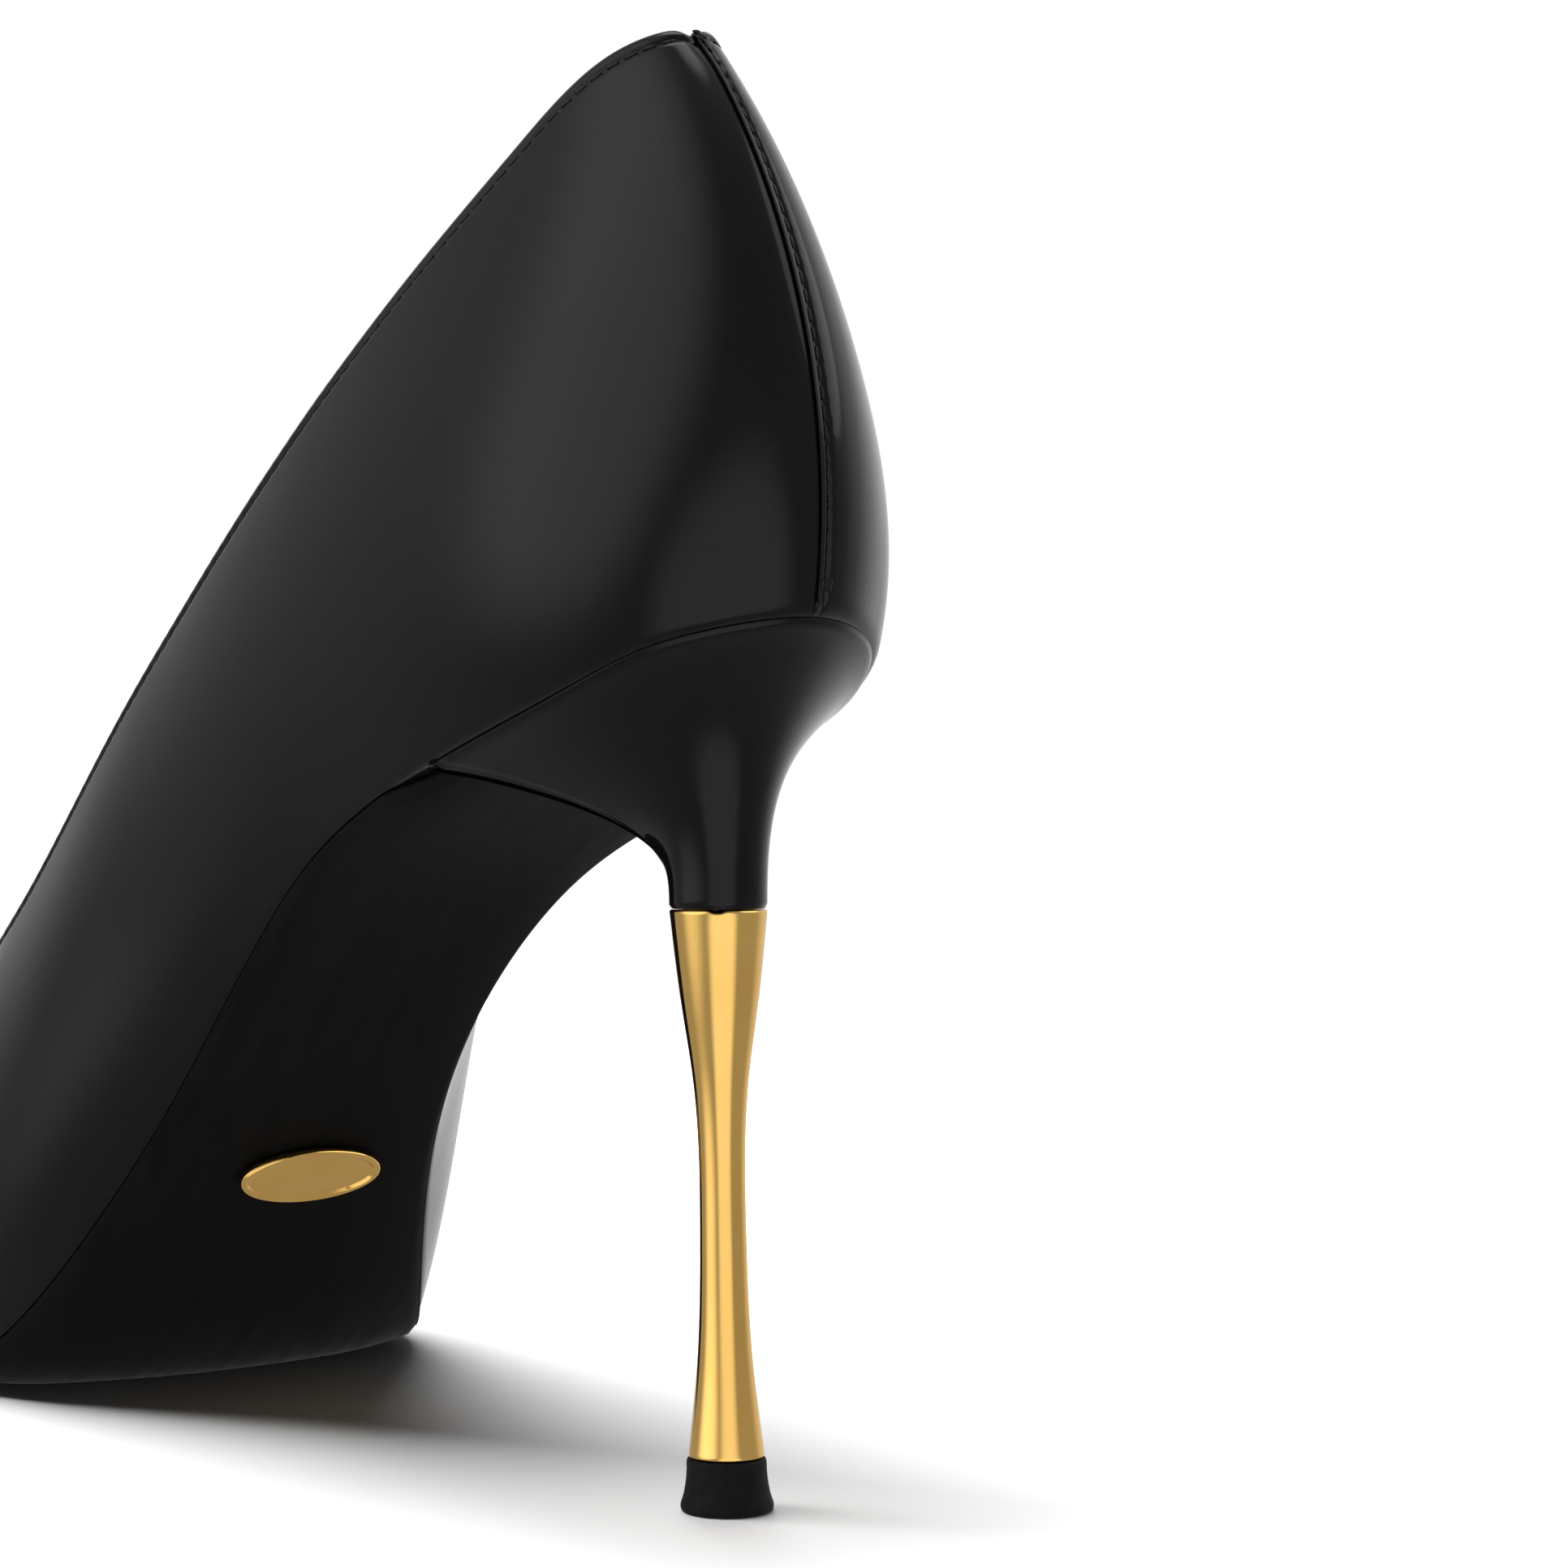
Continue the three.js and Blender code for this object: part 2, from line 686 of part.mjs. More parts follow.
function makeHeelSleeve() {
  const loops = [];
  const steps = 12;
  for (let i = 0; i <= steps; i++) {
    const z = THREE.MathUtils.lerp(sleeveFoot, sleeveTop, i / steps);
    loops.push(shaftLoop(z, sleeveRadius(z), 24));
  }
  return cut(loft(loops), [shaftBar(boreDiameter, sleeveFoot - 1, sleeveTop + 1)]);
}

function makeTopLift() {
  const levels = [0, 0.35, 0.7, 1];
  const loops = levels.map((level) => {
    const radius = THREE.MathUtils.lerp(liftFootRadius, liftTopRadius, level ** 0.7);
    return shaftLoop(level * liftHeight, radius, 24);
  });
  return cut(loft(loops), [shaftBar(boreDiameter, liftHeight - pinDepth - holeClearance, liftHeight + 1)]);
}

// ---- fasteners, square to the seat

// Shank and head turned to stand on the seat at (x, y); the head's top is level with the board's.
function seatFastener(x, y, diameter, length, headDiameter, clearance) {
  const shank = diameter / 2 + clearance;
  const head = headDiameter / 2 + clearance;
  const profile = [
    new THREE.Vector2(0, -length - clearance),
    new THREE.Vector2(shank, -length - clearance),
    new THREE.Vector2(shank, -headThickness - clearance),
    new THREE.Vector2(head, -headThickness - clearance),
    new THREE.Vector2(head, clearance),
    new THREE.Vector2(0, clearance),
  ];
  const body = new THREE.LatheGeometry(profile, 8);
  body.rotateX(Math.PI / 2);
  body.rotateY(-Math.atan(featherSlope(x)));
  body.translate(x, y, featherHeight(x) + boardOver);
  return body;
}

const nailPlaces = [[15, 0], [22.6, 9.4], [22.6, -9.4], [30.5, 11.5], [30.5, -11.5]]
  .map(([x, y]) => [x * along, y * across]);
const rivetPlaces = { shank_rivet_rear: 52, shank_rivet_front: 122 };
const rivetHeadDiameter = 5;
const screwHeadDiameter = 6.5;

const nailBody = ([x, y], clearance) =>
  seatFastener(x, y, nailDiameter, nailLength, nailHeadDiameter, clearance);

const screwBody = (clearance) =>
  seatFastener(shaftNeckX, 0, screwDiameter, screwLength, screwHeadDiameter, clearance);

function rivetBody(station, clearance) {
  const x = station * along;
  const length = boardOver * Math.cos(Math.atan(featherSlope(x)));
  return seatFastener(x, midline(x), rivetDiameter, length, rivetHeadDiameter, clearance);
}

// ---- badge on the waist of the sole

function ellipse(length, width) {
  const outline = new THREE.Shape();
  outline.absellipse(0, 0, length / 2, width / 2, 0, Math.PI * 2);
  return outline;
}

function placeOnSole(geometry) {
  geometry.rotateX(Math.PI);
  geometry.rotateZ(Math.PI / 2);
  geometry.rotateY(-Math.atan(featherSlope(badgeX * along)));
  geometry.translate(badgeX * along, badgeY, soleBottom(badgeX * along, 0.5));
  return geometry;
}

function badgePins(clearance) {
  return [-0.5, 0.5].map((side) => {
    const length = badgePinLength + gap + badgeThickness / 2 + clearance;
    const radius = badgePinDiameter / 2 + clearance;
    const pin = new THREE.CylinderGeometry(radius, radius, length, 12);
    pin.rotateX(Math.PI / 2);
    pin.translate(side * badgePinSpacing, 0, length / 2 - badgePinLength - clearance);
    return placeOnSole(pin);
  });
}

function makeBadge() {
  const bevel = 0.3;
  const settings = {
    depth: badgeThickness - 2 * bevel,
    bevelSize: bevel,
    bevelThickness: bevel,
    bevelSegments: 2,
    curveSegments: 12,
  };
  const disc = new THREE.ExtrudeGeometry(ellipse(badgeLength - 2 * bevel, badgeWidth - 2 * bevel), settings);
  disc.translate(0, 0, gap + bevel);
  return join([placeOnSole(disc), ...badgePins(0)]);
}

// ---- assembly

const pump = new THREE.Group();

function add(name, geometry, color, roughness, metalness = 0) {
  const mesh = new THREE.Mesh(geometry, new THREE.MeshStandardMaterial({ color, roughness, metalness }));
  mesh.name = name;
  pump.add(mesh);
}

const patentBlack = '#0b0b0d';
const tanLeather = '#a5652c';
const gold = '#d9a441';
const steel = '#9a9da1';

const nailHoles = nailPlaces.map((place) => nailBody(place, holeClearance));
const screwHole = screwBody(holeClearance);
const rivetHoles = Object.values(rivetPlaces).map((station) => rivetBody(station, holeClearance));
const rodHole = shaftBar(boreDiameter, neckHeight - 2, rodTop + holeClearance);
const solePocket = soleBody(gap, gap);
const seatRoom = makeSeatRoom();

add('upper', makeUpper(), patentBlack, 0.06);
add('quarter_lining', makeQuarterLining(), tanLeather, 0.5);
add('vamp_lining', makeVampLining(), tanLeather, 0.5);
add('heel_grip', makeHeelGrip(), '#b98a5a', 0.9);
add('heel_counter', makeHeelCounter(), '#c9b78f', 0.8);
add('toe_puff', makeToePuff(), '#d8d2c4', 0.8);
add('topline_tape', makeToplineTape(), '#ececec', 0.8);
add('insock', makeInsock(), tanLeather, 0.45);
add('heel_pad', padBody(3, 11), '#d9c9a3', 0.95);
add('ball_pad', padBody(17, 28), '#d9c9a3', 0.95);
add('insole_board', makeInsoleBoard([...nailHoles, screwHole, ...rivetHoles]), '#8a6f4d', 0.9);
add('steel_shank', makeShank([screwHole, ...rivetHoles]), steel, 0.35, 1);
add('bottom_filler', makeBottomFiller(), '#b98d5c', 0.95);
add('outsole', cut(soleBody(0, 0), badgePins(holeClearance)), '#151515', 0.4);
add('heel_block', makeHeelBlock([seatRoom, rodHole, screwHole, ...nailHoles, solePocket]), '#2a2a2a', 0.5);
add('heel_cover', makeHeelCover([seatRoom, solePocket]), patentBlack, 0.08);
add('heel_sleeve', makeHeelSleeve(), gold, 0.12, 1);
add('heel_rod', shaftBar(rodDiameter, liftHeight - pinDepth + pinLength + gap, rodTop), steel, 0.3, 1);
add('top_lift', makeTopLift(), '#141414', 0.7);
add('top_lift_pin', shaftBar(rodDiameter, liftHeight - pinDepth, liftHeight - pinDepth + pinLength), steel, 0.3, 1);
add('heel_screw', screwBody(0), steel, 0.3, 1);
nailPlaces.forEach((place, i) => add(`heel_nail_${i + 1}`, nailBody(place, 0), steel, 0.4, 1));
for (const [name, station] of Object.entries(rivetPlaces)) add(name, rivetBody(station, 0), steel, 0.4, 1);
add('sole_badge', makeBadge(), gold, 0.15, 1);

const footprint = new THREE.Box3().setFromObject(pump);
const middle = footprint.getCenter(new THREE.Vector3());
pump.position.set(-middle.x, -middle.y, 0);

export default pump;
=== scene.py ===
"""A high heel pump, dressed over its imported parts.

The shapes are worked out in millimetres, with x from the back of the counter to the
toe, and put() moves them onto the frame and turns them into metres.
"""
import math
import random

import bpy
import numpy as np
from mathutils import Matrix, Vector


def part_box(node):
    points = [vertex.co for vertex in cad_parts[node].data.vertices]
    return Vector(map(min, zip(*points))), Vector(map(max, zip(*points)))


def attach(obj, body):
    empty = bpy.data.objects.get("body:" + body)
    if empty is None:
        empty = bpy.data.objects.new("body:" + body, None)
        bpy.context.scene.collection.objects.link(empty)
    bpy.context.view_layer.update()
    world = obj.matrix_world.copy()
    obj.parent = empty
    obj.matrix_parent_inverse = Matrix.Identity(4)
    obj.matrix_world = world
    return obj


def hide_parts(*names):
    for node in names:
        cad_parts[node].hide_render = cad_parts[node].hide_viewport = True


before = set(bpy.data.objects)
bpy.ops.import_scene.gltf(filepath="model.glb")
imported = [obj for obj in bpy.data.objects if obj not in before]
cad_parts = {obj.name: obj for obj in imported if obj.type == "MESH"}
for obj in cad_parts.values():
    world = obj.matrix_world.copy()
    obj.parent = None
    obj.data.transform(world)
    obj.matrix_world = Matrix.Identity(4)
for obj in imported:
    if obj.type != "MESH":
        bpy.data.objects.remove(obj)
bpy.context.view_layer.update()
rng = random.Random(7)

# ---------------------------------------------------------------- the last, as in the CAD
HEEL_HEIGHT = 100.6
SOLE_THICKNESS = 3.3
TREAD_LEVEL = SOLE_THICKNESS + 0.4
GLUE = 0.3
BOTTOM_KEYS = [
    (4, 1), (13.5, 0.965), (22, 0.925), (34, 0.878), (47, 0.832), (60, 0.779), (74, 0.701),
    (88, 0.574), (105, 0.378), (118, 0.228), (130, 0.104), (141, 0.025), (152, -0.003),
    (166, -0.006), (186, 0.002), (214, 0.028), (246, 0.066),
]
# at, feather (x, y), topline (x, y, rise), low handle, high handle
LAST_KEYS = [
    (0, (4.2, 0), (28, 0, 78), (-4.3, 0, 23), (-19.4, 0, -20.8)),
    (0.07, (9.4, 11.8), (33.6, 7.8, 77), (-3, 4, 23), (-14, 5.4, -21.5)),
    (0.15, (20.5, 19.6), (43.5, 14.2, 70.5), (0.4, 7.4, 22), (-8, 7.4, -22)),
    (0.26, (45, 24), (59, 20.8, 61.3), (1, 6.8, 20), (-4, 6.6, -20)),
    (0.38, (76, 25.6), (81, 25.2, 56.5), (0, 6.2, 18), (-1, 5, -18)),
    (0.49, (106, 28.5), (106, 27, 63.5), (-1, 7, 20), (0, 5.6, -20)),
    (0.6, (134, 36.2), (128, 29.6, 65.5), (-1, 6.5, 20), (-1, 7.4, -24)),
    (0.7, (158, 38.6), (148.5, 31.6, 57.5), (0, 5.4, 18), (1, 7.6, -20)),
    (0.8, (185, 31.8), (163, 26, 49), (1, 4.2, 16), (5, 8, -10)),
    (0.88, (212, 19.2), (171.5, 17.4, 44), (1, 3.2, 14), (12, 7, -6)),
    (0.96, (238.6, 1.6), (176.2, 5.4, 41), (0.6, 1.8, 10), (22, 3, -8)),
    (1, (246, -8.6), (176.8, -2, 40.4), (2, -0.2, 9), (25, -2, -9)),
    (1.04, (238.4, -17.2), (176, -9.6, 40.6), (0.6, -1.6, 10), (22, -4, -8)),
    (1.12, (211, -27.6), (171, -20.4, 42.6), (1, -2.8, 13), (12, -7, -6)),
    (1.2, (184, -35), (162, -27.6, 47.2), (1, -4, 15), (5, -8, -9)),
    (1.3, (157, -36.4), (147.5, -30.6, 57), (0, -4.6, 16), (1, -7.5, -20)),
    (1.4, (130, -24), (128, -28.8, 67), (0, -6.6, 16), (0, -6.4, -24)),
    (1.51, (102, -12.4), (105, -26, 63), (0, -7, 18), (0, -5, -22)),
    (1.62, (74, -15), (81, -24.4, 57.5), (0, -7.4, 18), (0, -4, -20)),
    (1.74, (44, -21.6), (59, -20.8, 61.3), (1, -6.8, 20), (-4, -6.4, -20)),
    (1.85, (20.5, -19.6), (43.5, -14.2, 70.5), (0.4, -7, 22), (-8, -7.2, -22)),
    (1.93, (9.4, -11.8), (33.6, -7.8, 77), (-3, -4, 23), (-14, -5.4, -21.5)),
]


def spline(xs, ys):
    """Natural cubic spline through (xs, ys); ys may have several columns."""
    xs = np.asarray(xs, float)
    ys = np.asarray(ys, float)
    h = np.diff(xs)
    n = len(xs)
    rows = np.zeros((n, n))
    load = np.zeros_like(ys)
    rows[0, 0] = rows[-1, -1] = 1
    slope = (np.diff(ys, axis=0).T / h).T
    for i in range(1, n - 1):
        rows[i, i - 1:i + 2] = h[i - 1], 2 * (h[i - 1] + h[i]), h[i]
        load[i] = 6 * (slope[i] - slope[i - 1])
    bend = np.linalg.solve(rows, load)

    def value(x):
        x = np.asarray(x, float)
        i = np.clip(np.searchsorted(xs, x, side="right") - 1, 0, n - 2)
        step = h[i]
        a = (xs[i + 1] - x) / step
        b = (x - xs[i]) / step
        if ys.ndim > 1:
            a, b, step = a[..., None], b[..., None], step[..., None]
        curl = (a ** 3 - a) * bend[i] + (b ** 3 - b) * bend[i + 1]
        return a * ys[i] + b * ys[i + 1] + curl * step ** 2 / 6

    return value


def ring(column):
    at = np.array([key[0] for key in LAST_KEYS])
    values = np.array([key[column] for key in LAST_KEYS], float)
    ats = np.concatenate([at[-5:] - 2, at, at[:5] + 2])
    curve = spline(ats, np.concatenate([values[-5:], values, values[:5]]))
    return lambda a: curve(np.mod(a, 2))


feather_ring, topline_ring, low_ring, high_ring = (ring(c) for c in (1, 2, 3, 4))
bottom_share = spline([k[0] for k in BOTTOM_KEYS], [k[1] for k in BOTTOM_KEYS])


def feather_height(x):
    return TREAD_LEVEL + (HEEL_HEIGHT - TREAD_LEVEL) * bottom_share(x)


def feather(at):
    xy = feather_ring(at)
    return np.concatenate([xy, feather_height(xy[..., 0])[..., None]], -1)


def last(at, v):
    """Points of the last's outside; at and v are arrays that broadcast together."""
    at, v = np.broadcast_arrays(np.asarray(at, float), np.asarray(v, float))
    foot = feather(at)
    top = topline_ring(at).copy()
    top[..., 2] += feather_height(top[..., 0])
    low = foot + low_ring(at)
    high = top + high_ring(at)
    v = v[..., None]
    u = 1 - v
    return u ** 3 * foot + 3 * u * u * v * low + 3 * u * v * v * high + v ** 3 * top


def unit(p):
    return p / np.maximum(np.linalg.norm(p, axis=-1, keepdims=True), 1e-12)


def last_normal(at, v, step=0.002):
    up = last(at, np.minimum(1, v + step)) - last(at, np.maximum(0, v - step))
    run = last(at + step, v) - last(at - step, v)
    return unit(np.cross(up, run))


def under_last(at, v, depth):
    return last(at, v) - last_normal(at, v) * np.asarray(depth)[..., None]


def inset_feather(at, inset):
    step = 0.004
    run = feather(at + step) - feather(at - step)
    run[..., 2] = 0
    run = unit(run)
    foot = feather(at)
    foot[..., 0] += run[..., 1] * inset
    foot[..., 1] -= run[..., 0] * inset
    foot[..., 2] = feather_height(foot[..., 0])
    return foot


def smooth(x, low, high):
    t = np.clip((np.asarray(x, float) - low) / (high - low), 0, 1)
    return t * t * (3 - 2 * t)


def lerp(a, b, t):
    return a + (b - a) * t


# The CAD is centred on its footprint: its upper's box says where the last lies.
cad_shares = np.array([0, 0.07, 0.2, 0.35, 0.5, 0.65, 0.8, 0.93, 1])
SIDE = 34      # the CAD's stations from the centre back to the toe
cad_grid = last(np.arange(2 * SIDE)[:, None] / SIDE, cad_shares[None, :]).reshape(-1, 3)
upper_low, upper_high = (np.array(c) * 1000 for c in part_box("upper"))
shift = (upper_low + upper_high) / 2 - (cad_grid.min(0) + cad_grid.max(0)) / 2
shift[2] = 0


def put(points):
    return (np.asarray(points, float) + shift) / 1000


# ---------------------------------------------------------------- meshes
def piece(name, points, faces, materials, replaced=(), picks=None):
    """A mesh piece that rides on the shoe. picks is the material of each face."""
    mesh = bpy.data.meshes.new(name)
    mesh.from_pydata(put(points).tolist(), [], [tuple(int(i) for i in f) for f in faces])
    mesh.update()
    mesh.validate()
    for material in materials:
        mesh.materials.append(material)
    mesh.polygons.foreach_set("use_smooth", [True] * len(mesh.polygons))
    if picks is not None:
        mesh.polygons.foreach_set("material_index", np.asarray(picks, np.int32))
    obj = bpy.data.objects.new(name, mesh)
    bpy.context.scene.collection.objects.link(obj)
    fix_normals(obj)
    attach(obj, "root")
    if replaced:
        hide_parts(*replaced)


def fix_normals(obj):
    """Turns the faces out, so that the enclosed volume is positive."""
    mesh = obj.data
    mesh.calc_loop_triangles()
    co = np.zeros(len(mesh.vertices) * 3)
    mesh.vertices.foreach_get("co", co)
    co = co.reshape(-1, 3)
    tri = np.zeros(len(mesh.loop_triangles) * 3, np.int32)
    mesh.loop_triangles.foreach_get("vertices", tri)
    tri = tri.reshape(-1, 3)
    centre = co.mean(0)
    a, b, c = (co[tri[:, i]] - centre for i in range(3))
    if np.einsum("ij,ij->", a, np.cross(b, c)) < 0:
        mesh.flip_normals()


def strip_faces(rows, columns, close_rows=False, close_columns=False, start=0):
    r = np.arange(rows if close_rows else rows - 1)
    c = np.arange(columns if close_columns else columns - 1)
    i, k = np.meshgrid(r, c, indexing="ij")
    j = (i + 1) % rows
    m = (k + 1) % columns
    quads = np.stack([i * columns + k, j * columns + k, j * columns + m, i * columns + m], -1)
    return quads.reshape(-1, 4) + start


def sheet(front, back, closed):
    """Closed sheet: front and back are (stations, columns, 3)."""
    stations, columns = front.shape[:2]
    size = stations * columns
    points = np.concatenate([front.reshape(-1, 3), back.reshape(-1, 3)])
    faces = [strip_faces(stations, columns, closed)]
    faces.append(strip_faces(stations, columns, closed, start=size)[:, ::-1])
    i = np.arange(stations if closed else stations - 1)
    j = (i + 1) % stations
    for k, turned in ((0, 1), (columns - 1, -1)):
        a, b = i * columns + k, j * columns + k
        rim = np.stack([a, size + a, size + b, b], -1)
        faces.append(rim[:, ::turned])
    if not closed:
        k = np.arange(columns - 1)
        for i, turned in ((0, -1), (stations - 1, 1)):
            a = i * columns + k
            end = np.stack([a, size + a, size + a + 1, a + 1], -1)
            faces.append(end[:, ::turned])
    return points, np.concatenate(faces)


def loft(loops):
    """Closed body through stacked loops (levels, count, 3), fan-closed at both ends."""
    levels, count = loops.shape[:2]
    points = np.concatenate([loops.reshape(-1, 3), loops[0].mean(0)[None], loops[-1].mean(0)[None]])
    faces = [tuple(f) for f in strip_faces(levels, count, False, True)]
    base = levels * count
    for i in range(count):
        j = (i + 1) % count
        faces.append((i, j, base))
        top = (levels - 1) * count
        faces.append((top + j, top + i, base + 1))
    return points, faces


def blob(points, faces, centre, axis, side, length, width, height, around=8, rings=5):
    """Adds a rounded stitch to the lists: a capsule along axis, flattened to width and height."""
    up = np.cross(axis, side)
    base = len(points)
    for r in range(rings):
        t = math.pi * (r + 0.5) / rings
        reach, girth = -math.cos(t), math.sin(t) ** 0.6
        for k in range(around):
            turn = 2 * math.pi * k / around
            p = centre + axis * reach * length / 2
            p = p + side * math.cos(turn) * girth * width / 2 + up * math.sin(turn) * girth * height / 2
            points.append(p)
    for r in range(rings - 1):
        for k in range(around):
            m = (k + 1) % around
            faces.append((base + r * around + k, base + (r + 1) * around + k,
                          base + (r + 1) * around + m, base + r * around + m))
    faces.append(tuple(base + k for k in range(around)))
    faces.append(tuple(base + (rings - 1) * around + k for k in reversed(range(around))))


# ---------------------------------------------------------------- materials
def material(name, color, roughness, metallic=0.0, coat=0.0, specular=0.5, sheen=0.0):
    """A principled material; returns it with its node tree and its shader."""
    mat = bpy.data.materials.new(name)
    mat.use_nodes = True
    tree = mat.node_tree
    shader = tree.nodes["Principled BSDF"]
    shader.inputs["Base Color"].default_value = (*color, 1)
    shader.inputs["Roughness"].default_value = roughness
    shader.inputs["Metallic"].default_value = metallic
    shader.inputs["Coat Weight"].default_value = coat
    shader.inputs["Coat Roughness"].default_value = 0.03
    shader.inputs["Specular IOR Level"].default_value = specular
    shader.inputs["Sheen Weight"].default_value = sheen
    return mat, tree, shader


def noise(tree, scale, detail=2.0, rough=0.5, stretch=(1, 1, 1), distortion=0.0):
    where = tree.nodes.new("ShaderNodeTexCoord")
    mapping = tree.nodes.new("ShaderNodeMapping")
    mapping.inputs["Scale"].default_value = stretch
    texture = tree.nodes.new("ShaderNodeTexNoise")
    texture.inputs["Scale"].default_value = scale
    texture.inputs["Detail"].default_value = detail
    texture.inputs["Roughness"].default_value = rough
    texture.inputs["Distortion"].default_value = distortion
    tree.links.new(where.outputs["Object"], mapping.inputs["Vector"])
    tree.links.new(mapping.outputs["Vector"], texture.inputs["Vector"])
    return texture.outputs["Fac"]


def voronoi(tree, scale, feature="F1"):
    where = tree.nodes.new("ShaderNodeTexCoord")
    texture = tree.nodes.new("ShaderNodeTexVoronoi")
    texture.feature = feature
    texture.inputs["Scale"].default_value = scale
    tree.links.new(where.outputs["Object"], texture.inputs["Vector"])
    return texture.outputs["Distance"]


def ranged(tree, value, low, high, out_low, out_high):
    node = tree.nodes.new("ShaderNodeMapRange")
    node.inputs["From Min"].default_value = low
    node.inputs["From Max"].default_value = high
    node.inputs["To Min"].default_value = out_low
    node.inputs["To Max"].default_value = out_high
    tree.links.new(value, node.inputs["Value"])
    return node.outputs["Result"]


def blend_colors(tree, factor, first, second):
    node = tree.nodes.new("ShaderNodeMix")
    node.data_type = "RGBA"
    node.inputs[6].default_value = (*first, 1)
    node.inputs[7].default_value = (*second, 1)
    tree.links.new(factor, node.inputs[0])
    return node.outputs[2]


def paint(tree, shader, value, limits, first, second):
    """Base colour between two colours, as value goes between the limits."""
    color = blend_colors(tree, ranged(tree, value, *limits, 0, 1), first, second)
    tree.links.new(color, shader.inputs["Base Color"])


def bump(tree, shader, height, distance, strength=1.0, previous=None, socket="Normal"):
    node = tree.nodes.new("ShaderNodeBump")
    node.inputs["Strength"].default_value = strength
    node.inputs["Distance"].default_value = distance
    tree.links.new(height, node.inputs["Height"])
    if previous is not None:
        tree.links.new(previous, node.inputs["Normal"])
    tree.links.new(node.outputs["Normal"], shader.inputs[socket])
    return node.outputs["Normal"]


def make_patent():
    """Black patent: a leather base under a thick clear film that ripples very slightly."""
    mat, tree, shader = material("patent_black", (0.002, 0.002, 0.0022), 0.35, coat=1.0, specular=0.04)
    shader.inputs["Coat IOR"].default_value = 1.29
    grain = noise(tree, 900, 3, 0.6)
    ripple = noise(tree, 70, 2, 0.4, distortion=0.4)
    wave = noise(tree, 22, 1, 0.4)
    paint(tree, shader, noise(tree, 40, 4), (0.3, 0.7), (0.0014, 0.0014, 0.0016), (0.0026, 0.0026, 0.0028))
    tree.links.new(ranged(tree, ripple, 0.3, 0.7, 0.24, 0.36), shader.inputs["Roughness"])
    first = bump(tree, shader, grain, 0.00002, 0.5)
    bump(tree, shader, wave, 0.0003, 0.25, first)
    film = bump(tree, shader, ripple, 0.00006, 0.35, socket="Coat Normal")
    bump(tree, shader, wave, 0.0003, 0.25, film, socket="Coat Normal")
    return mat


def make_sole_leather():
    """Black sole leather: satin, with a short fibre grain and faint burnishing marks."""
    mat, tree, shader = material("sole_black", (0.005, 0.005, 0.005), 0.6, specular=0.06)
    grain = noise(tree, 420, 5, 0.65)
    marks = noise(tree, 60, 3, 0.5, stretch=(1, 6, 1))
    paint(tree, shader, marks, (0.35, 0.65), (0.0034, 0.0031, 0.0027), (0.0056, 0.0050, 0.0044))
    tree.links.new(ranged(tree, marks, 0.3, 0.7, 0.54, 0.66), shader.inputs["Roughness"])
    first = bump(tree, shader, grain, 0.00004, 0.6)
    bump(tree, shader, marks, 0.0001, 0.25, first)
    return mat


def make_gold():
    """Mirror gold plating with hair-fine polishing lines along the shaft."""
    mat, tree, shader = material("gold_plate", (0.92, 0.56, 0.16), 0.09, metallic=1.0)
    lines = noise(tree, 500, 3, 0.6, stretch=(1, 1, 0.03))
    cloud = noise(tree, 90, 3, 0.5)
    paint(tree, shader, cloud, (0.3, 0.7), (0.90, 0.545, 0.15), (0.95, 0.60, 0.18))
    tree.links.new(ranged(tree, lines, 0.3, 0.7, 0.07, 0.13), shader.inputs["Roughness"])
    first = bump(tree, shader, lines, 0.000006, 0.3)
    bump(tree, shader, cloud, 0.00005, 0.15, first)
    return mat


def make_rubber():
    mat, tree, shader = material("lift_rubber", (0.005, 0.005, 0.005), 0.6, specular=0.16)
    grain = noise(tree, 700, 4, 0.7)
    dust = noise(tree, 120, 4, 0.6)
    paint(tree, shader, dust, (0.4, 0.75), (0.0035, 0.0035, 0.0035), (0.0065, 0.0065, 0.0064))
    tree.links.new(ranged(tree, grain, 0.3, 0.7, 0.55, 0.72), shader.inputs["Roughness"])
    bump(tree, shader, grain, 0.00006, 0.5)
    return mat


def make_tan(name, dark, light, rough, cell=1100, strength=0.45):
    """Tan glove leather: fine pebbled grain, pores and a slow change of colour."""
    mat, tree, shader = material(name, light, rough, specular=0.4)
    pebbles = voronoi(tree, cell, "DISTANCE_TO_EDGE")
    pores = noise(tree, cell * 1.7, 3, 0.6)
    clouds = noise(tree, 30, 4, 0.55)
    paint(tree, shader, clouds, (0.3, 0.7), dark, light)
    tree.links.new(ranged(tree, pores, 0.3, 0.7, rough - 0.07, rough + 0.08), shader.inputs["Roughness"])
    first = bump(tree, shader, pebbles, 0.00006, strength)
    bump(tree, shader, pores, 0.00003, strength, first)
    return mat


def make_suede():
    mat, tree, shader = material("grip_suede", (0.42, 0.25, 0.12), 0.92, specular=0.2, sheen=0.6)
    nap = noise(tree, 800, 5, 0.75, distortion=0.6)
    clouds = noise(tree, 60, 3, 0.6)
    paint(tree, shader, clouds, (0.3, 0.7), (0.34, 0.19, 0.085), (0.46, 0.28, 0.14))
    bump(tree, shader, nap, 0.00012, 0.8)
    return mat


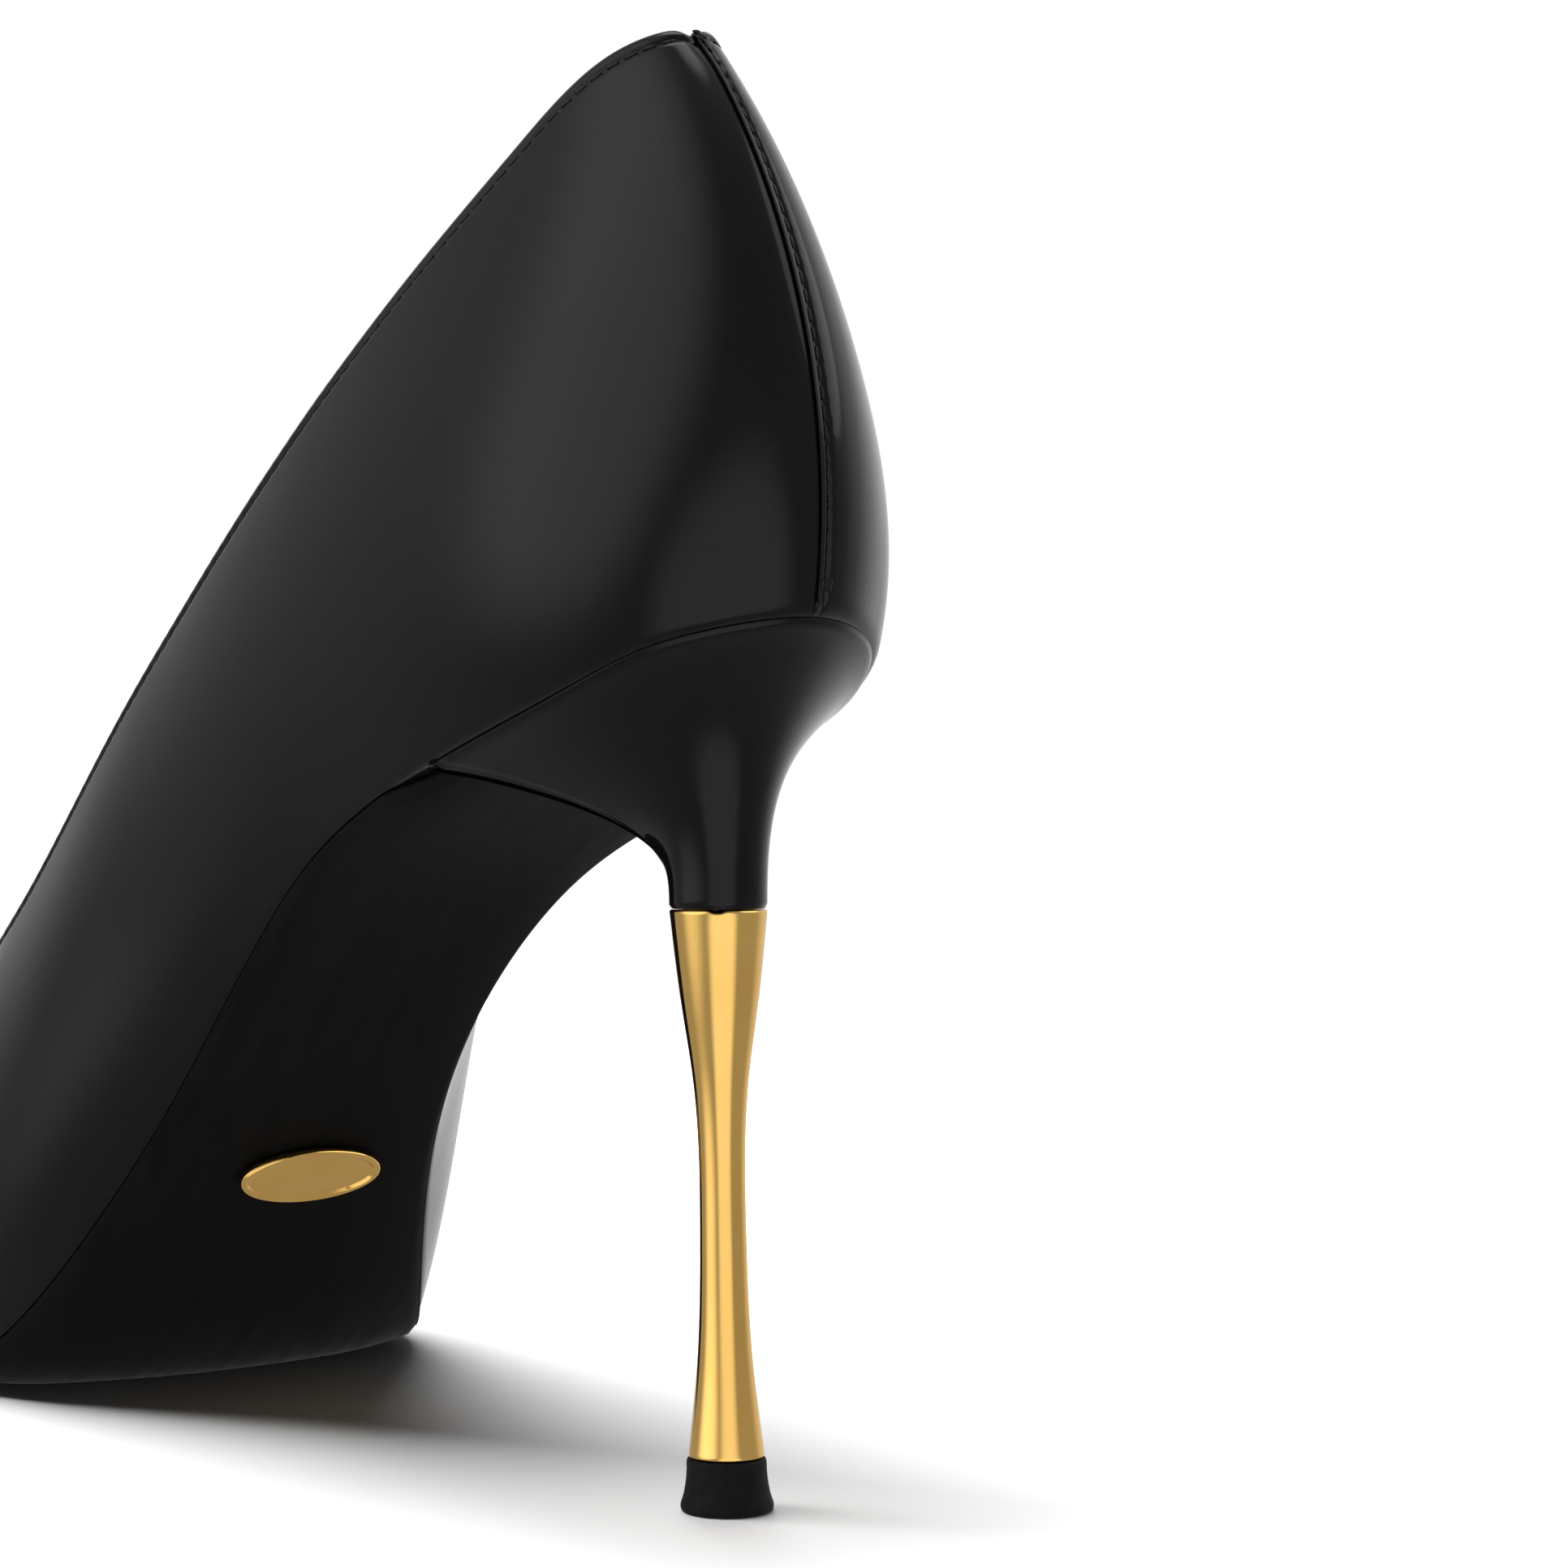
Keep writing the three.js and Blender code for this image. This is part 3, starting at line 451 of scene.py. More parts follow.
def make_thread():
    """Waxed black thread with its twist."""
    mat, tree, shader = material("thread_black", (0.005, 0.005, 0.005), 0.4, specular=0.3)
    where = tree.nodes.new("ShaderNodeTexCoord")
    twist = tree.nodes.new("ShaderNodeTexWave")
    twist.bands_direction = "DIAGONAL"
    twist.inputs["Scale"].default_value = 900
    twist.inputs["Distortion"].default_value = 1.5
    tree.links.new(where.outputs["Object"], twist.inputs["Vector"])
    color = blend_colors(tree, twist.outputs["Fac"], (0.0030, 0.0029, 0.0028), (0.0090, 0.0085, 0.0078))
    tree.links.new(color, shader.inputs["Base Color"])
    bump(tree, shader, twist.outputs["Fac"], 0.00006, 0.7)
    return mat


def make_plain(name, dark, light, rough, metallic, scale):
    """For the hidden pieces: a mottled board, foam or metal."""
    mat, tree, shader = material(name, light, rough, metallic=metallic)
    grain = noise(tree, scale, 4, 0.6)
    paint(tree, shader, grain, (0.3, 0.7), dark, light)
    bump(tree, shader, grain, 0.0001, 0.4)
    return mat


patent = make_patent()
sole_leather = make_sole_leather()
gold = make_gold()
rubber = make_rubber()
tan = make_tan("tan_leather", (0.36, 0.165, 0.050), (0.46, 0.225, 0.075), 0.46)
suede = make_suede()
thread = make_thread()
tan_thread = make_tan("thread_tan", (0.40, 0.20, 0.07), (0.50, 0.27, 0.10), 0.6, 3000)

# ---------------------------------------------------------------- upper
UPPER_THICKNESS = 1.0
FOLD_RADIUS = 0.62
STITCH_PITCH = 2.25
STITCH_LENGTH = 1.75
TOP_STITCH = 2.1       # stitch row under the topline
LAP_RISE = 0.5         # the inner quarter lies on the outer one at the centre back
LAP_STITCH = 0.8       # stitch row in from the lapped edge
UNDERLAP = 3.2
LASTING_MARGIN = 6.5
AT_LENGTH = 184.0      # millimetres of the quarter for each unit of at, near the back
LAP_REACH = 20         # the lapped edge's step is worked out this far in

samples = np.linspace(0, 1, 241)


def lengths_up(at):
    """Distance up the side from the feather line, at each of the samples: (stations, samples)."""
    curve = last(at[:, None], samples[None, :])
    step = np.linalg.norm(np.diff(curve, axis=1), axis=2)
    return np.concatenate([np.zeros((len(at), 1)), np.cumsum(step, axis=1)], axis=1)


fine_at = np.linspace(0, 2, 4001)
top_curve = last(fine_at, 1.0)
foot_curve = feather(fine_at)
top_run = np.concatenate([[0], np.cumsum(np.linalg.norm(np.diff(top_curve, axis=0), axis=1))])
foot_run = np.concatenate([[0], np.cumsum(np.linalg.norm(np.diff(foot_curve, axis=0), axis=1))])
TOP_LENGTH = top_run[-1]


def notch(top_at):
    """The topline dips a little where the two quarters meet at the back."""
    away = np.minimum(top_at, TOP_LENGTH - top_at)
    return 0.75 * np.exp(-(away / 1.5) ** 2)


def lap_height(from_lap):
    """Rise of the lapped quarter over the other one; it fades away from the edge."""
    return LAP_RISE * (1 - smooth(from_lap, 2.0, 14.0))


def upper_stations():
    density = np.maximum(np.gradient(top_run, fine_at) / 0.75, np.gradient(foot_run, fine_at) / 2.0)
    count = np.concatenate([[0], np.cumsum((density[1:] + density[:-1]) / 2 * np.diff(fine_at))])
    at = np.interp(np.linspace(0, count[-1], int(count[-1]) + 1), count, fine_at)
    near = np.array([0.0, 0.06, 0.14, 0.25, 0.4, 0.55, 0.7, 0.83, 0.95, 1.07, 1.2, 1.4, 1.65, 2, 2.5, 3.1, 3.8])
    near = near / AT_LENGTH
    at = at[(at > 4.4 / AT_LENGTH) & (at < 2 - 4.4 / AT_LENGTH)]
    under = -np.array([UNDERLAP, 2.4, 1.6, 0.8, 0.3]) / AT_LENGTH
    return np.concatenate([under, near[[0, 4, 8, 11, 13, 14, 15, 16]], at, 2 - near[::-1]])


at = upper_stations()
side = lengths_up(at)
total = side[:, -1]
back_length = total[np.argmin(np.abs(at))]
deep_rows = np.arange(4.75, back_length - 0.8, 0.75)
top_rows = np.array([0.62, 0.9, 1.2, 1.5, 1.75, 1.95, 2.1, 2.25, 2.45, 2.7, 3.05, 3.5, 4.0])
down = np.concatenate([top_rows, deep_rows])            # distance down from the topline at the back
FREE = 4.0     # this far down the rows follow the topline; below, they spread out to the feather line
reach = down[None, :] * np.ones((len(at), 1))
stretched = FREE + (reach - FREE) * ((total - 0.8 - FREE) / (back_length - 0.8 - FREE))[:, None]
reach = np.where(reach > FREE, stretched, reach)
v = np.stack([np.interp(total[i] - reach[i], side[i], samples) for i in range(len(at))])
surface = last(at[:, None], v)
normal = last_normal(at[:, None] + 0 * v, v)

from_edge = (2 - at) * AT_LENGTH                         # distance in from the lapped edge, inner side
top_at = np.interp(np.mod(at, 2), fine_at, top_run)
top_at = np.where(at < 0, 0, top_at)


def pucker(along):
    """Dents at the needle holes of a stitch row: 1 at a hole, 0 between."""
    phase = np.mod(along / STITCH_PITCH, 1)
    return np.exp(-(np.minimum(phase, 1 - phase) / 0.2) ** 2)


# Band over the topline stitches, the groove they pull, and the dents.
profile = 0.10 * np.exp(-((reach - 1.25) / 0.5) ** 2) - 0.17 * np.exp(-((reach - TOP_STITCH) / 0.28) ** 2)
profile -= 0.10 * np.exp(-((reach - TOP_STITCH) / 0.5) ** 2) * pucker(top_at)[:, None]
profile += 0.05 * np.exp(-((reach - 1.2) / 0.5) ** 2) * (1 - pucker(top_at))[:, None]
# The lapped edge at the centre back.
inner = from_edge[:, None] < LAP_REACH
height = lap_height(from_edge)[:, None]
valley = 0.30 * np.exp(-((from_edge - LAP_STITCH) / 0.32) ** 2)[:, None]
dents = 0.16 * np.exp(-((from_edge - LAP_STITCH - 0.25) / 0.5) ** 2)[:, None] * pucker(reach)
profile = profile + np.where(inner, height - valley - dents, 0.0)
surface = surface + normal * profile[..., None]
surface[..., 2] -= notch(top_at)[:, None] * np.exp(-(reach / 5.0) ** 2)

# Fold over the topline: half a circle from the outside to the inside.
ends = last(at, 1.0)
up_dir = unit(ends - last(at, 0.985))
out_dir = last_normal(at, np.full(len(at), 0.995))
lap_out = lap_height(from_edge)[:, None] * np.where(from_edge < LAP_REACH, 1, 0)[:, None]
hub = ends - up_dir * FOLD_RADIUS - out_dir * FOLD_RADIUS + out_dir * lap_out
hub[:, 2] -= notch(top_at)
fold = []
for turn in np.radians([30, 60, 90, 120, 150, 180]):
    fold.append(hub + FOLD_RADIUS * (out_dir * math.cos(turn) + up_dir * math.sin(turn)))
fold = np.stack(fold, 1)

# Turn under the board at the bottom, with a rounded feather edge.
wrapped = np.mod(at, 2)
margin = LASTING_MARGIN * lerp(0.5, 1, smooth(np.abs(wrapped - 1), 0.02, 0.14))
rim = surface[:, -1]
corner = feather(at)
corner_in = inset_feather(at, 0.9)
edge = []
for t in (0.25, 0.5, 0.75, 1.0):
    edge.append((1 - t) ** 2 * rim + 2 * t * (1 - t) * corner + t * t * corner_in)
for share in (0.4, 1.0):
    edge.append(inset_feather(at, lerp(0.9, margin, share)))
edge = np.stack(edge, 1)
front = np.concatenate([edge[:, ::-1], surface[:, ::-1], fold], axis=1)

# Inner face, a leather's thickness in; the lapped edge is pared down.
pared = lerp(0.42, UPPER_THICKNESS, smooth(from_edge, 3.2, 8.0))
pared = np.where(from_edge < LAP_REACH, pared, UPPER_THICKNESS)
inside = surface - normal * pared[:, None, None]
last_fold = fold[:, -1]
inner_top = np.stack([lerp(inside[:, 0], last_fold, t) for t in (0.15, 0.3, 0.45, 0.6, 0.75, 0.9)], 1)
inner_edge = []
for k in range(edge.shape[1]):
    lifted = edge[:, k].copy()
    lifted[:, 2] += UPPER_THICKNESS
    inner_edge.append(lerp(inside[:, -1], lifted, min(1, 0.3 + 0.2 * k)))
inner_edge = np.stack(inner_edge, 1)
back = np.concatenate([inner_edge[:, ::-1], inside[:, ::-1], inner_top], axis=1)
points, faces = sheet(front, back, False)
piece("patent_upper", points, faces, [patent], ["upper"])


# ---------------------------------------------------------------- stitches of the upper
def place_on_upper(a, d, lift):
    """Point and axes at a distance d down from the topline: (point, along, up, out)."""
    a = np.array([a])
    lengths = lengths_up(a)
    share = np.interp(lengths[0, -1] - d, lengths[0], samples)
    p = last(a, share)[0]
    n = last_normal(a, np.array([share]))[0]
    along = unit(last(a + 0.002, share)[0] - last(a - 0.002, share)[0])
    return p + n * lift, along, np.cross(n, along), n


stitch_points, stitch_faces = [], []
count = int(TOP_LENGTH // STITCH_PITCH)
for i in range(1, count):
    run = (i + 0.5) * STITCH_PITCH
    if run < 1.5 or run > TOP_LENGTH - 1.5:
        continue
    a = float(np.interp(run, top_run, fine_at))
    from_lap = (2 - a) * AT_LENGTH
    rise = float(lap_height(from_lap)) if from_lap < LAP_REACH else 0
    p, along, up, n = place_on_upper(a, TOP_STITCH, rise - 0.10)
    p[2] -= float(notch(np.array([run]))[0])
    tilt = up * rng.uniform(-0.06, 0.06)
    blob(stitch_points, stitch_faces, p, unit(along + tilt), up, STITCH_LENGTH, 0.42, 0.34)
seam_count = int((back_length - 3.5) // STITCH_PITCH)
for i in range(1, seam_count + 1):
    d = (i + 0.5) * STITCH_PITCH
    a = 2 - LAP_STITCH / AT_LENGTH
    p, along, up, n = place_on_upper(a, d, LAP_RISE * 0.98 - 0.22)
    tilt = along * rng.uniform(-0.08, 0.08)
    blob(stitch_points, stitch_faces, p, unit(up + tilt), along, STITCH_LENGTH, 0.40, 0.34)
# Bar tack at the foot of the seam and the knots at its top.
for i in range(4):
    p, along, up, n = place_on_upper(2 - (0.35 + 0.35 * i) / AT_LENGTH, back_length - 3.4, LAP_RISE - 0.02)
    blob(stitch_points, stitch_faces, p, up, along, 1.5, 0.34, 0.3)
for i, (s, d) in enumerate([(0.3, 0.5), (1.0, 1.1), (0.55, 1.7), (1.5, 0.6)]):
    p, along, up, n = place_on_upper(2 - s / AT_LENGTH, d, LAP_RISE + 0.05)
    p[2] -= 0.6
    blob(stitch_points, stitch_faces, p, unit(along + up * rng.uniform(-1, 1)), up, 1.2, 0.5, 0.45)
piece("upper_stitches", np.array(stitch_points), stitch_faces, [thread])

# ---------------------------------------------------------------- linings
LINING = 0.7
LINING_DEPTH = 2.5
RIM_DEPTH = 1.35


def lining_depth(v):
    return lerp(LINING_DEPTH, RIM_DEPTH, smooth(v, 0.75, 0.97))


def lining(name, a0, a1, steps, rise, replaced):
    """Sheet of lining from the insock to just under the topline, its top edge rounded over."""
    a = np.linspace(a0, a1, steps)
    rows = np.concatenate([np.linspace(0.03, 0.9, 40), np.linspace(0.91, 0.991, 8)])
    depth = lining_depth(rows)[None, :] + 0 * a[:, None]
    grid_a, grid_v = np.meshgrid(a, rows, indexing="ij")
    n = last_normal(grid_a, grid_v)
    base = last(grid_a, grid_v)
    outer = base - n * depth[..., None]
    inner_face = base - n * (depth + LINING + rise)[..., None]
    up = unit(base[:, -1] - base[:, -2])
    centre = (outer[:, -1] + inner_face[:, -1]) / 2
    half = (outer[:, -1] - inner_face[:, -1]) / 2
    cap = []
    for turn in np.radians([45, 90, 135]):
        cap.append(centre - half * math.cos(turn) + up * 0.35 * math.sin(turn))
    cap = np.stack(cap, 1)
    first = np.concatenate([inner_face, cap], 1)
    lift = np.stack([lerp(outer[:, -1], cap[:, -1], t) for t in (0.3, 0.6, 0.9)], 1)
    second = np.concatenate([outer, lift], 1)
    points, faces = sheet(first, second, False)
    piece(name, points, faces, [tan], replaced)


SPLIT = 20 / SIDE
lining("lining_quarter", -SPLIT - 0.012, SPLIT + 0.012, 300, 0.0, ["quarter_lining"])
lining("lining_vamp", SPLIT, 2 - SPLIT, 240, -0.25, ["vamp_lining"])

# The tape between the fold of the upper and the lining, just under the topline.
cotton = make_plain("cotton_tape", (0.70, 0.70, 0.68), (0.82, 0.82, 0.80), 0.9, 0.0, 1500)
tape_a = np.linspace(0, 2, 240, endpoint=False)[:, None]
tape_v = np.array([0.93, 0.95, 0.97])[None, :] + 0 * tape_a
tape_front, tape_back = (under_last(tape_a, tape_v, depth + 0 * tape_v) for depth in (1.25, 1.34))
points, faces = sheet(tape_front, tape_back, True)
piece("edge_tape", points, faces, [cotton], ["topline_tape"])

# Suede grip inside the heel, sewn round its edge.
GRIP_AT = 4.3 / SIDE
GRIP_HEIGHT, GRIP_HALF_WIDTH = 42, 22


def grip_share(u, w):
    """Share up the side; u goes across the grip from -1 to 1, w up it from 0 to 1."""
    return lerp(0.3 + 0.05 * u ** 2, 0.9 - 0.10 * u ** 4, w)


grip_a = np.linspace(-GRIP_AT, GRIP_AT, 90)
grip_u = (grip_a / GRIP_AT)[:, None]
rows = np.linspace(0, 1, 50)[None, :]
grip_v = grip_share(grip_u, rows)
grip_n = last_normal(grip_a[:, None] + 0 * grip_v, grip_v)
grip_p = last(grip_a[:, None] + 0 * grip_v, grip_v)
to_edge = np.minimum(np.minimum(rows, 1 - rows) * GRIP_HEIGHT, (1 - np.abs(grip_u)) * GRIP_HALF_WIDTH)
swell = 0.62 * smooth(to_edge, -0.1, 0.8) - 0.14 * np.exp(-((to_edge - 1.8) / 0.4) ** 2)
face_depth = lining_depth(grip_v) + LINING + 0.06
grip_front = grip_p - grip_n * (face_depth + np.maximum(swell, 0.06))[..., None]
grip_back = grip_p - grip_n * (face_depth - 0.02)[..., None]
points, faces = sheet(grip_front, grip_back, False)
piece("suede_grip", points, faces, [suede], ["heel_grip"])

grip_stitches, grip_faces = [], []
outline = []
for u in np.linspace(-0.92, 0.92, 22):
    outline.append((u, 0.955))
for w in np.linspace(0.93, 0.07, 17):
    outline.append((0.92, w))
for u in np.linspace(0.92, -0.92, 22):
    outline.append((u, 0.045))
for w in np.linspace(0.07, 0.93, 17):
    outline.append((-0.92, w))


def grip_point(u, w):
    a = np.array([u * GRIP_AT])
    share = np.array([grip_share(u, w)])
    n = last_normal(a, share)
    depth = lining_depth(share) + LINING + 0.06 + 0.50
    return (last(a, share) - n * depth[:, None])[0], n[0]


for k in range(len(outline)):
    p, n = grip_point(*outline[k])
    q, _ = grip_point(*outline[(k + 1) % len(outline)])
    run = q - p
    if np.linalg.norm(run) < 0.4:
        continue
    axis = unit(run)
    blob(grip_stitches, grip_faces, (p + q) / 2, axis, np.cross(n, axis), 1.5, 0.4, 0.34)
piece("grip_stitches", np.array(grip_stitches), grip_faces, [tan_thread])

# ---------------------------------------------------------------- insock
SHANK, BOARD = 1.3, 1.8
BOARD_TOP = SHANK + GLUE + BOARD
PAD_FLOOR = 0.15
PAD_THICKNESS = 1.6
INSOCK = 0.9
INSOCK_INSET = LINING_DEPTH + LINING + GLUE + 0.4
TOE_DRAW_IN = 3.2      # the insock's toe stays short of the toe's wall


def toe_ease(a):
    return TOE_DRAW_IN * smooth(a, 0.78, 0.95)


def rib(a, inset, shares, inset_inner=None):
    outer = inset_feather(a, inset)
    inner = inset_feather(2 - a, inset if inset_inner is None else inset_inner)
    p = inner[:, None] + (outer - inner)[:, None] * shares[None, :, None]
    p[..., 2] = feather_height(p[..., 0])
    return p


def pad_rise(x):
    heel = 1 - smooth(x, 44, 66)
    ball = smooth(x, 108, 128) * (1 - smooth(x, 168, 186))
    return PAD_THICKNESS * np.maximum(heel, ball)


a = np.linspace(2 / SIDE, 32 / SIDE, 220)
shares = np.array([0, 0.006, 0.015, 0.03, 0.06, 0.1, 0.16, 0.24, 0.34, 0.44, 0.5])
shares = np.concatenate([shares, 1 - shares[-2::-1]])


def wall_inset(stations):
    """How far in from the feather line the lining's face stands, at the height of the insock."""
    shares_up = np.linspace(0, 0.4, 60)
    walls = last(stations[:, None], shares_up[None, :])
    foot = feather(stations)
    height = BOARD_TOP + 1.2 + pad_rise(foot[:, 0])
    outward = foot - inset_feather(stations, 1.0)
    insets = []
    for i in range(len(stations)):
        out = ((walls[i] - foot[i])[:, :2] * outward[i, :2]).sum(-1)
        insets.append(LINING_DEPTH + LINING + 0.1 - np.interp(height[i], walls[i, :, 2] - foot[i, 2], out))
    return np.minimum(np.array(insets), INSOCK_INSET + toe_ease(np.minimum(stations, 2 - stations)))


ribs = rib(a, wall_inset(a), shares, wall_inset(2 - a))
under = ribs.copy()
under[..., 2] += BOARD_TOP + 0.3 + PAD_FLOOR + 0.3 + pad_rise(ribs[..., 0])
near_side = np.minimum(shares, 1 - shares)[None, :]
over = under.copy()
over[..., 2] += INSOCK * (0.35 + 0.65 * smooth(near_side, -0.004, 0.03))
over[..., 2] += 0.5 * (1 - smooth(near_side, 0.0, 0.16))
points, faces = sheet(over, under, False)
piece("insock_leather", points, faces, [tan], ["insock"])

# ---------------------------------------------------------------- outsole
REAR_AT = 0.2
WING_AT = 0.272
SOLE_TUCK, SOLE_EDGE_INSET = 3.4, 0.15
BELLY_DEPTH = 2.6
TREAD_BEVEL = 1.3
WAIST_THINNING = 0.7


def sole_inset(a):
    return lerp(SOLE_TUCK, SOLE_EDGE_INSET, smooth(a, WING_AT - 0.004, WING_AT + 0.035))


def sole_bottom(x, share):
    middle = 1 - 4 * (share - 0.5) ** 2
    belly = smooth(x, 100, 130) * (1 - smooth(x, 136, 156))
    edge = np.maximum(0, np.abs(share - 0.5) * 2 - 0.6) / 0.4
    thinning = WAIST_THINNING * (1 - smooth(x, 110, 140))
    level = feather_height(x) - GLUE - SOLE_THICKNESS + thinning - BELLY_DEPTH * belly * middle
    return np.maximum(0.0, level) + TREAD_BEVEL * edge ** 2


a = np.concatenate([np.linspace(REAR_AT, 0.96, 260), np.linspace(0.962, 0.9965, 24)])
shares = np.array([0, 0.004, 0.01, 0.02, 0.035, 0.055, 0.08, 0.11, 0.15, 0.2, 0.26, 0.33, 0.41, 0.5])
shares = np.concatenate([shares, 1 - shares[-2::-1]])
ribs = rib(a, sole_inset(a), shares)
bottom = ribs.copy()
bottom[..., 2] = sole_bottom(ribs[..., 0], shares[None, :])
# The edge is rounded: the outermost points climb towards the feather line.
near_side = np.minimum(shares, 1 - shares)
bottom[..., 2] += (0.9 * (1 - smooth(near_side, 0.0, 0.022)))[None, :]
top = ribs.copy()
top[..., 2] -= 0.12
bottom[..., 2] = np.minimum(bottom[..., 2], top[..., 2] - 0.4)
points, faces = sheet(top, bottom, False)
piece("leather_sole", points, faces, [sole_leather], ["outsole"])

# ---------------------------------------------------------------- heel
NECK_HEIGHT = 68.0
NECK_RADIUS = 5.7
SHAFT_FOOT_X, SHAFT_NECK_X = 20.8, 22.6
FLAT_DEGREES = 143
FLAT_CORNER = math.radians(FLAT_DEGREES)
CORNER_TURN = 0.36
FLARE = 2.8
BREAST_X = 46.0


def shaft_centre(z):
    return lerp(SHAFT_FOOT_X, SHAFT_NECK_X, z / NECK_HEIGHT)


def shaft_outline(turn):
    """D section: round at the back, flat on the breast; turn 0 is the back, 0.5 the breast."""
    t = np.minimum(turn, 1 - turn)
    side = np.where(turn <= 0.5, 1.0, -1.0)
    angle = np.minimum(t / CORNER_TURN, 1) * FLAT_CORNER
    rest = np.clip((t - CORNER_TURN) / (0.5 - CORNER_TURN), 0, 1)
    return -np.cos(angle), side * np.sin(angle) * (1 - rest)


def seat_outline(turn):
    t = np.minimum(turn, 1 - turn)
    at_rim = np.minimum(1, t / CORNER_TURN) * WING_AT
    rim = feather(np.where(turn <= 0.5, at_rim, 2 - at_rim))
    rest = np.clip((t - CORNER_TURN) / (0.5 - CORNER_TURN), 0, 1)[:, None]
    middle = np.array([BREAST_X, 1.0, float(feather_height(BREAST_X))])
    return rim + (middle - rim) * rest


def rounded_turns(count, fine):
    """Turns round the heel, with more of them near the breast's corners."""
    t = np.linspace(0, 1, count, endpoint=False)
    extra = []
    for corner in (CORNER_TURN, 1 - CORNER_TURN):
        extra.append(corner + fine)
    t = np.unique(np.round(np.concatenate([t, *extra]), 6))
    return t[(t >= 0) & (t < 1)]


def heel_points(turn, level):
    dx, dy = shaft_outline(turn)
    rim = seat_outline(turn)
    share = level ** FLARE
    neck_x = shaft_centre(NECK_HEIGHT) + dx * NECK_RADIUS
    z = lerp(NECK_HEIGHT, rim[:, 2], level)
    return np.stack([lerp(neck_x, rim[:, 0], share), lerp(dy * NECK_RADIUS, rim[:, 1], share), z], -1)


def inset_loop(loop, inset):
    before, after = np.roll(loop, 1, 0), np.roll(loop, -1, 0)
    run = after - before
    run[:, 2] = 0
    run = unit(run)
    moved = loop.copy()
    inset = np.asarray(inset)
    moved[:, 0] += run[:, 1] * inset
    moved[:, 1] -= run[:, 0] * inset
    return moved


near_corner = np.array([0.002, 0.005, 0.009, 0.014, 0.02])
turns = rounded_turns(180, np.concatenate([-near_corner, [0], near_corner]))
levels = np.concatenate([[0, 0.004, 0.01, 0.02], np.linspace(0.035, 0.975, 62), [0.984, 0.991, 0.996, 1.0]])
to_corner = np.minimum(np.abs(turns - CORNER_TURN), np.abs(turns - (1 - CORNER_TURN)))
on_breast = (turns > CORNER_TURN) & (turns < 1 - CORNER_TURN)
loops = []
for level in levels:
    loop = heel_points(turns, level)
    ease = 0.10 + 0.25 * (1 - smooth(level, 0, 0.02)) + 0.55 * smooth(level, 0.975, 1.0)
    # The corner is rounded, and a fine seam runs just behind it.
    round_off = 0.35 * np.exp(-(to_corner / 0.006) ** 2)
    seam = 0.16 * np.exp(-((to_corner - 0.013) / 0.0022) ** 2) * ~on_breast
    loops.append(inset_loop(loop, ease + round_off + seam + 0.25 * on_breast))
loops = np.array(loops)
loops[..., 2] -= 0.25 * smooth(levels, 0.9, 1.0)[:, None]
points, faces = loft(loops)
quads = strip_faces(len(levels), len(turns), False, True)
columns = quads[:, 0] % len(turns)
picks = np.zeros(len(faces), int)
picks[:len(quads)] = np.where(on_breast[columns] & (to_corner[columns] > 0.004), 1, 0)
piece("heel_skin", points, faces, [patent, sole_leather], ["heel_cover"], picks)

# Metal sleeve: D section with a parting line by the flat and a tiny notch in its top rim.
LIFT_HEIGHT = 6.0
SLEEVE_FOOT = LIFT_HEIGHT + 0.12
SLEEVE_TOP = NECK_HEIGHT - 0.12
WAIST_HEIGHT, WAIST_RADIUS = 31.0, 2.65
sleeve_radius = spline(
    [SLEEVE_FOOT, 0.55 * WAIST_HEIGHT, WAIST_HEIGHT, 0.5 * (WAIST_HEIGHT + NECK_HEIGHT),
     0.82 * NECK_HEIGHT, SLEEVE_TOP],
    [4.35, WAIST_RADIUS + 0.5, WAIST_RADIUS, WAIST_RADIUS + 0.65, WAIST_RADIUS + 1.55, NECK_RADIUS - 0.1],
)


def shaft_loop(turn, z, radius):
    dx, dy = shaft_outline(turn)
    centre = shaft_centre(z)
    return np.stack([centre + dx * radius, dy * radius, z + 0 * dx], -1)


near_corner = np.array([-0.03, -0.022, -0.017, -0.013, -0.009, -0.005, -0.002, 0, 0.002, 0.005, 0.01, 0.016])
sleeve_turns = rounded_turns(144, near_corner)
to_corner = np.minimum(np.abs(sleeve_turns - CORNER_TURN), np.abs(sleeve_turns - (1 - CORNER_TURN)))
on_flat = (sleeve_turns > CORNER_TURN) & (sleeve_turns < 1 - CORNER_TURN)
rim_steps = np.array([0, 0.05, 0.12, 0.25, 0.5])
middle_steps = np.linspace(SLEEVE_FOOT + 1.2, SLEEVE_TOP - 1.2, 84)
zs = np.concatenate([SLEEVE_FOOT + rim_steps, middle_steps, SLEEVE_TOP - rim_steps[::-1]])
NOTCH_TURN = 36 / FLAT_DEGREES * CORNER_TURN
loops = []
for z in zs:
    near_end = min(z - SLEEVE_FOOT, SLEEVE_TOP - z)
    radius = float(sleeve_radius(z)) - 0.22 * math.exp(-(near_end / 0.10) ** 2)
    loop = shaft_loop(sleeve_turns, z, radius)
    round_off = 0.22 * np.exp(-(to_corner / 0.008) ** 2)
    parting = 0.09 * np.exp(-((to_corner - 0.014) / 0.0025) ** 2) * ~on_flat
    loop = inset_loop(loop, round_off + parting)
    dip = 0.28 * np.exp(-((sleeve_turns - NOTCH_TURN) / 0.022) ** 4) * (1 - smooth(SLEEVE_TOP - z, 0, 0.9))
    loop[:, 2] -= dip
    loops.append(loop)
points, faces = loft(np.array(loops))
piece("gold_sleeve", points, faces, [gold], ["heel_sleeve"])

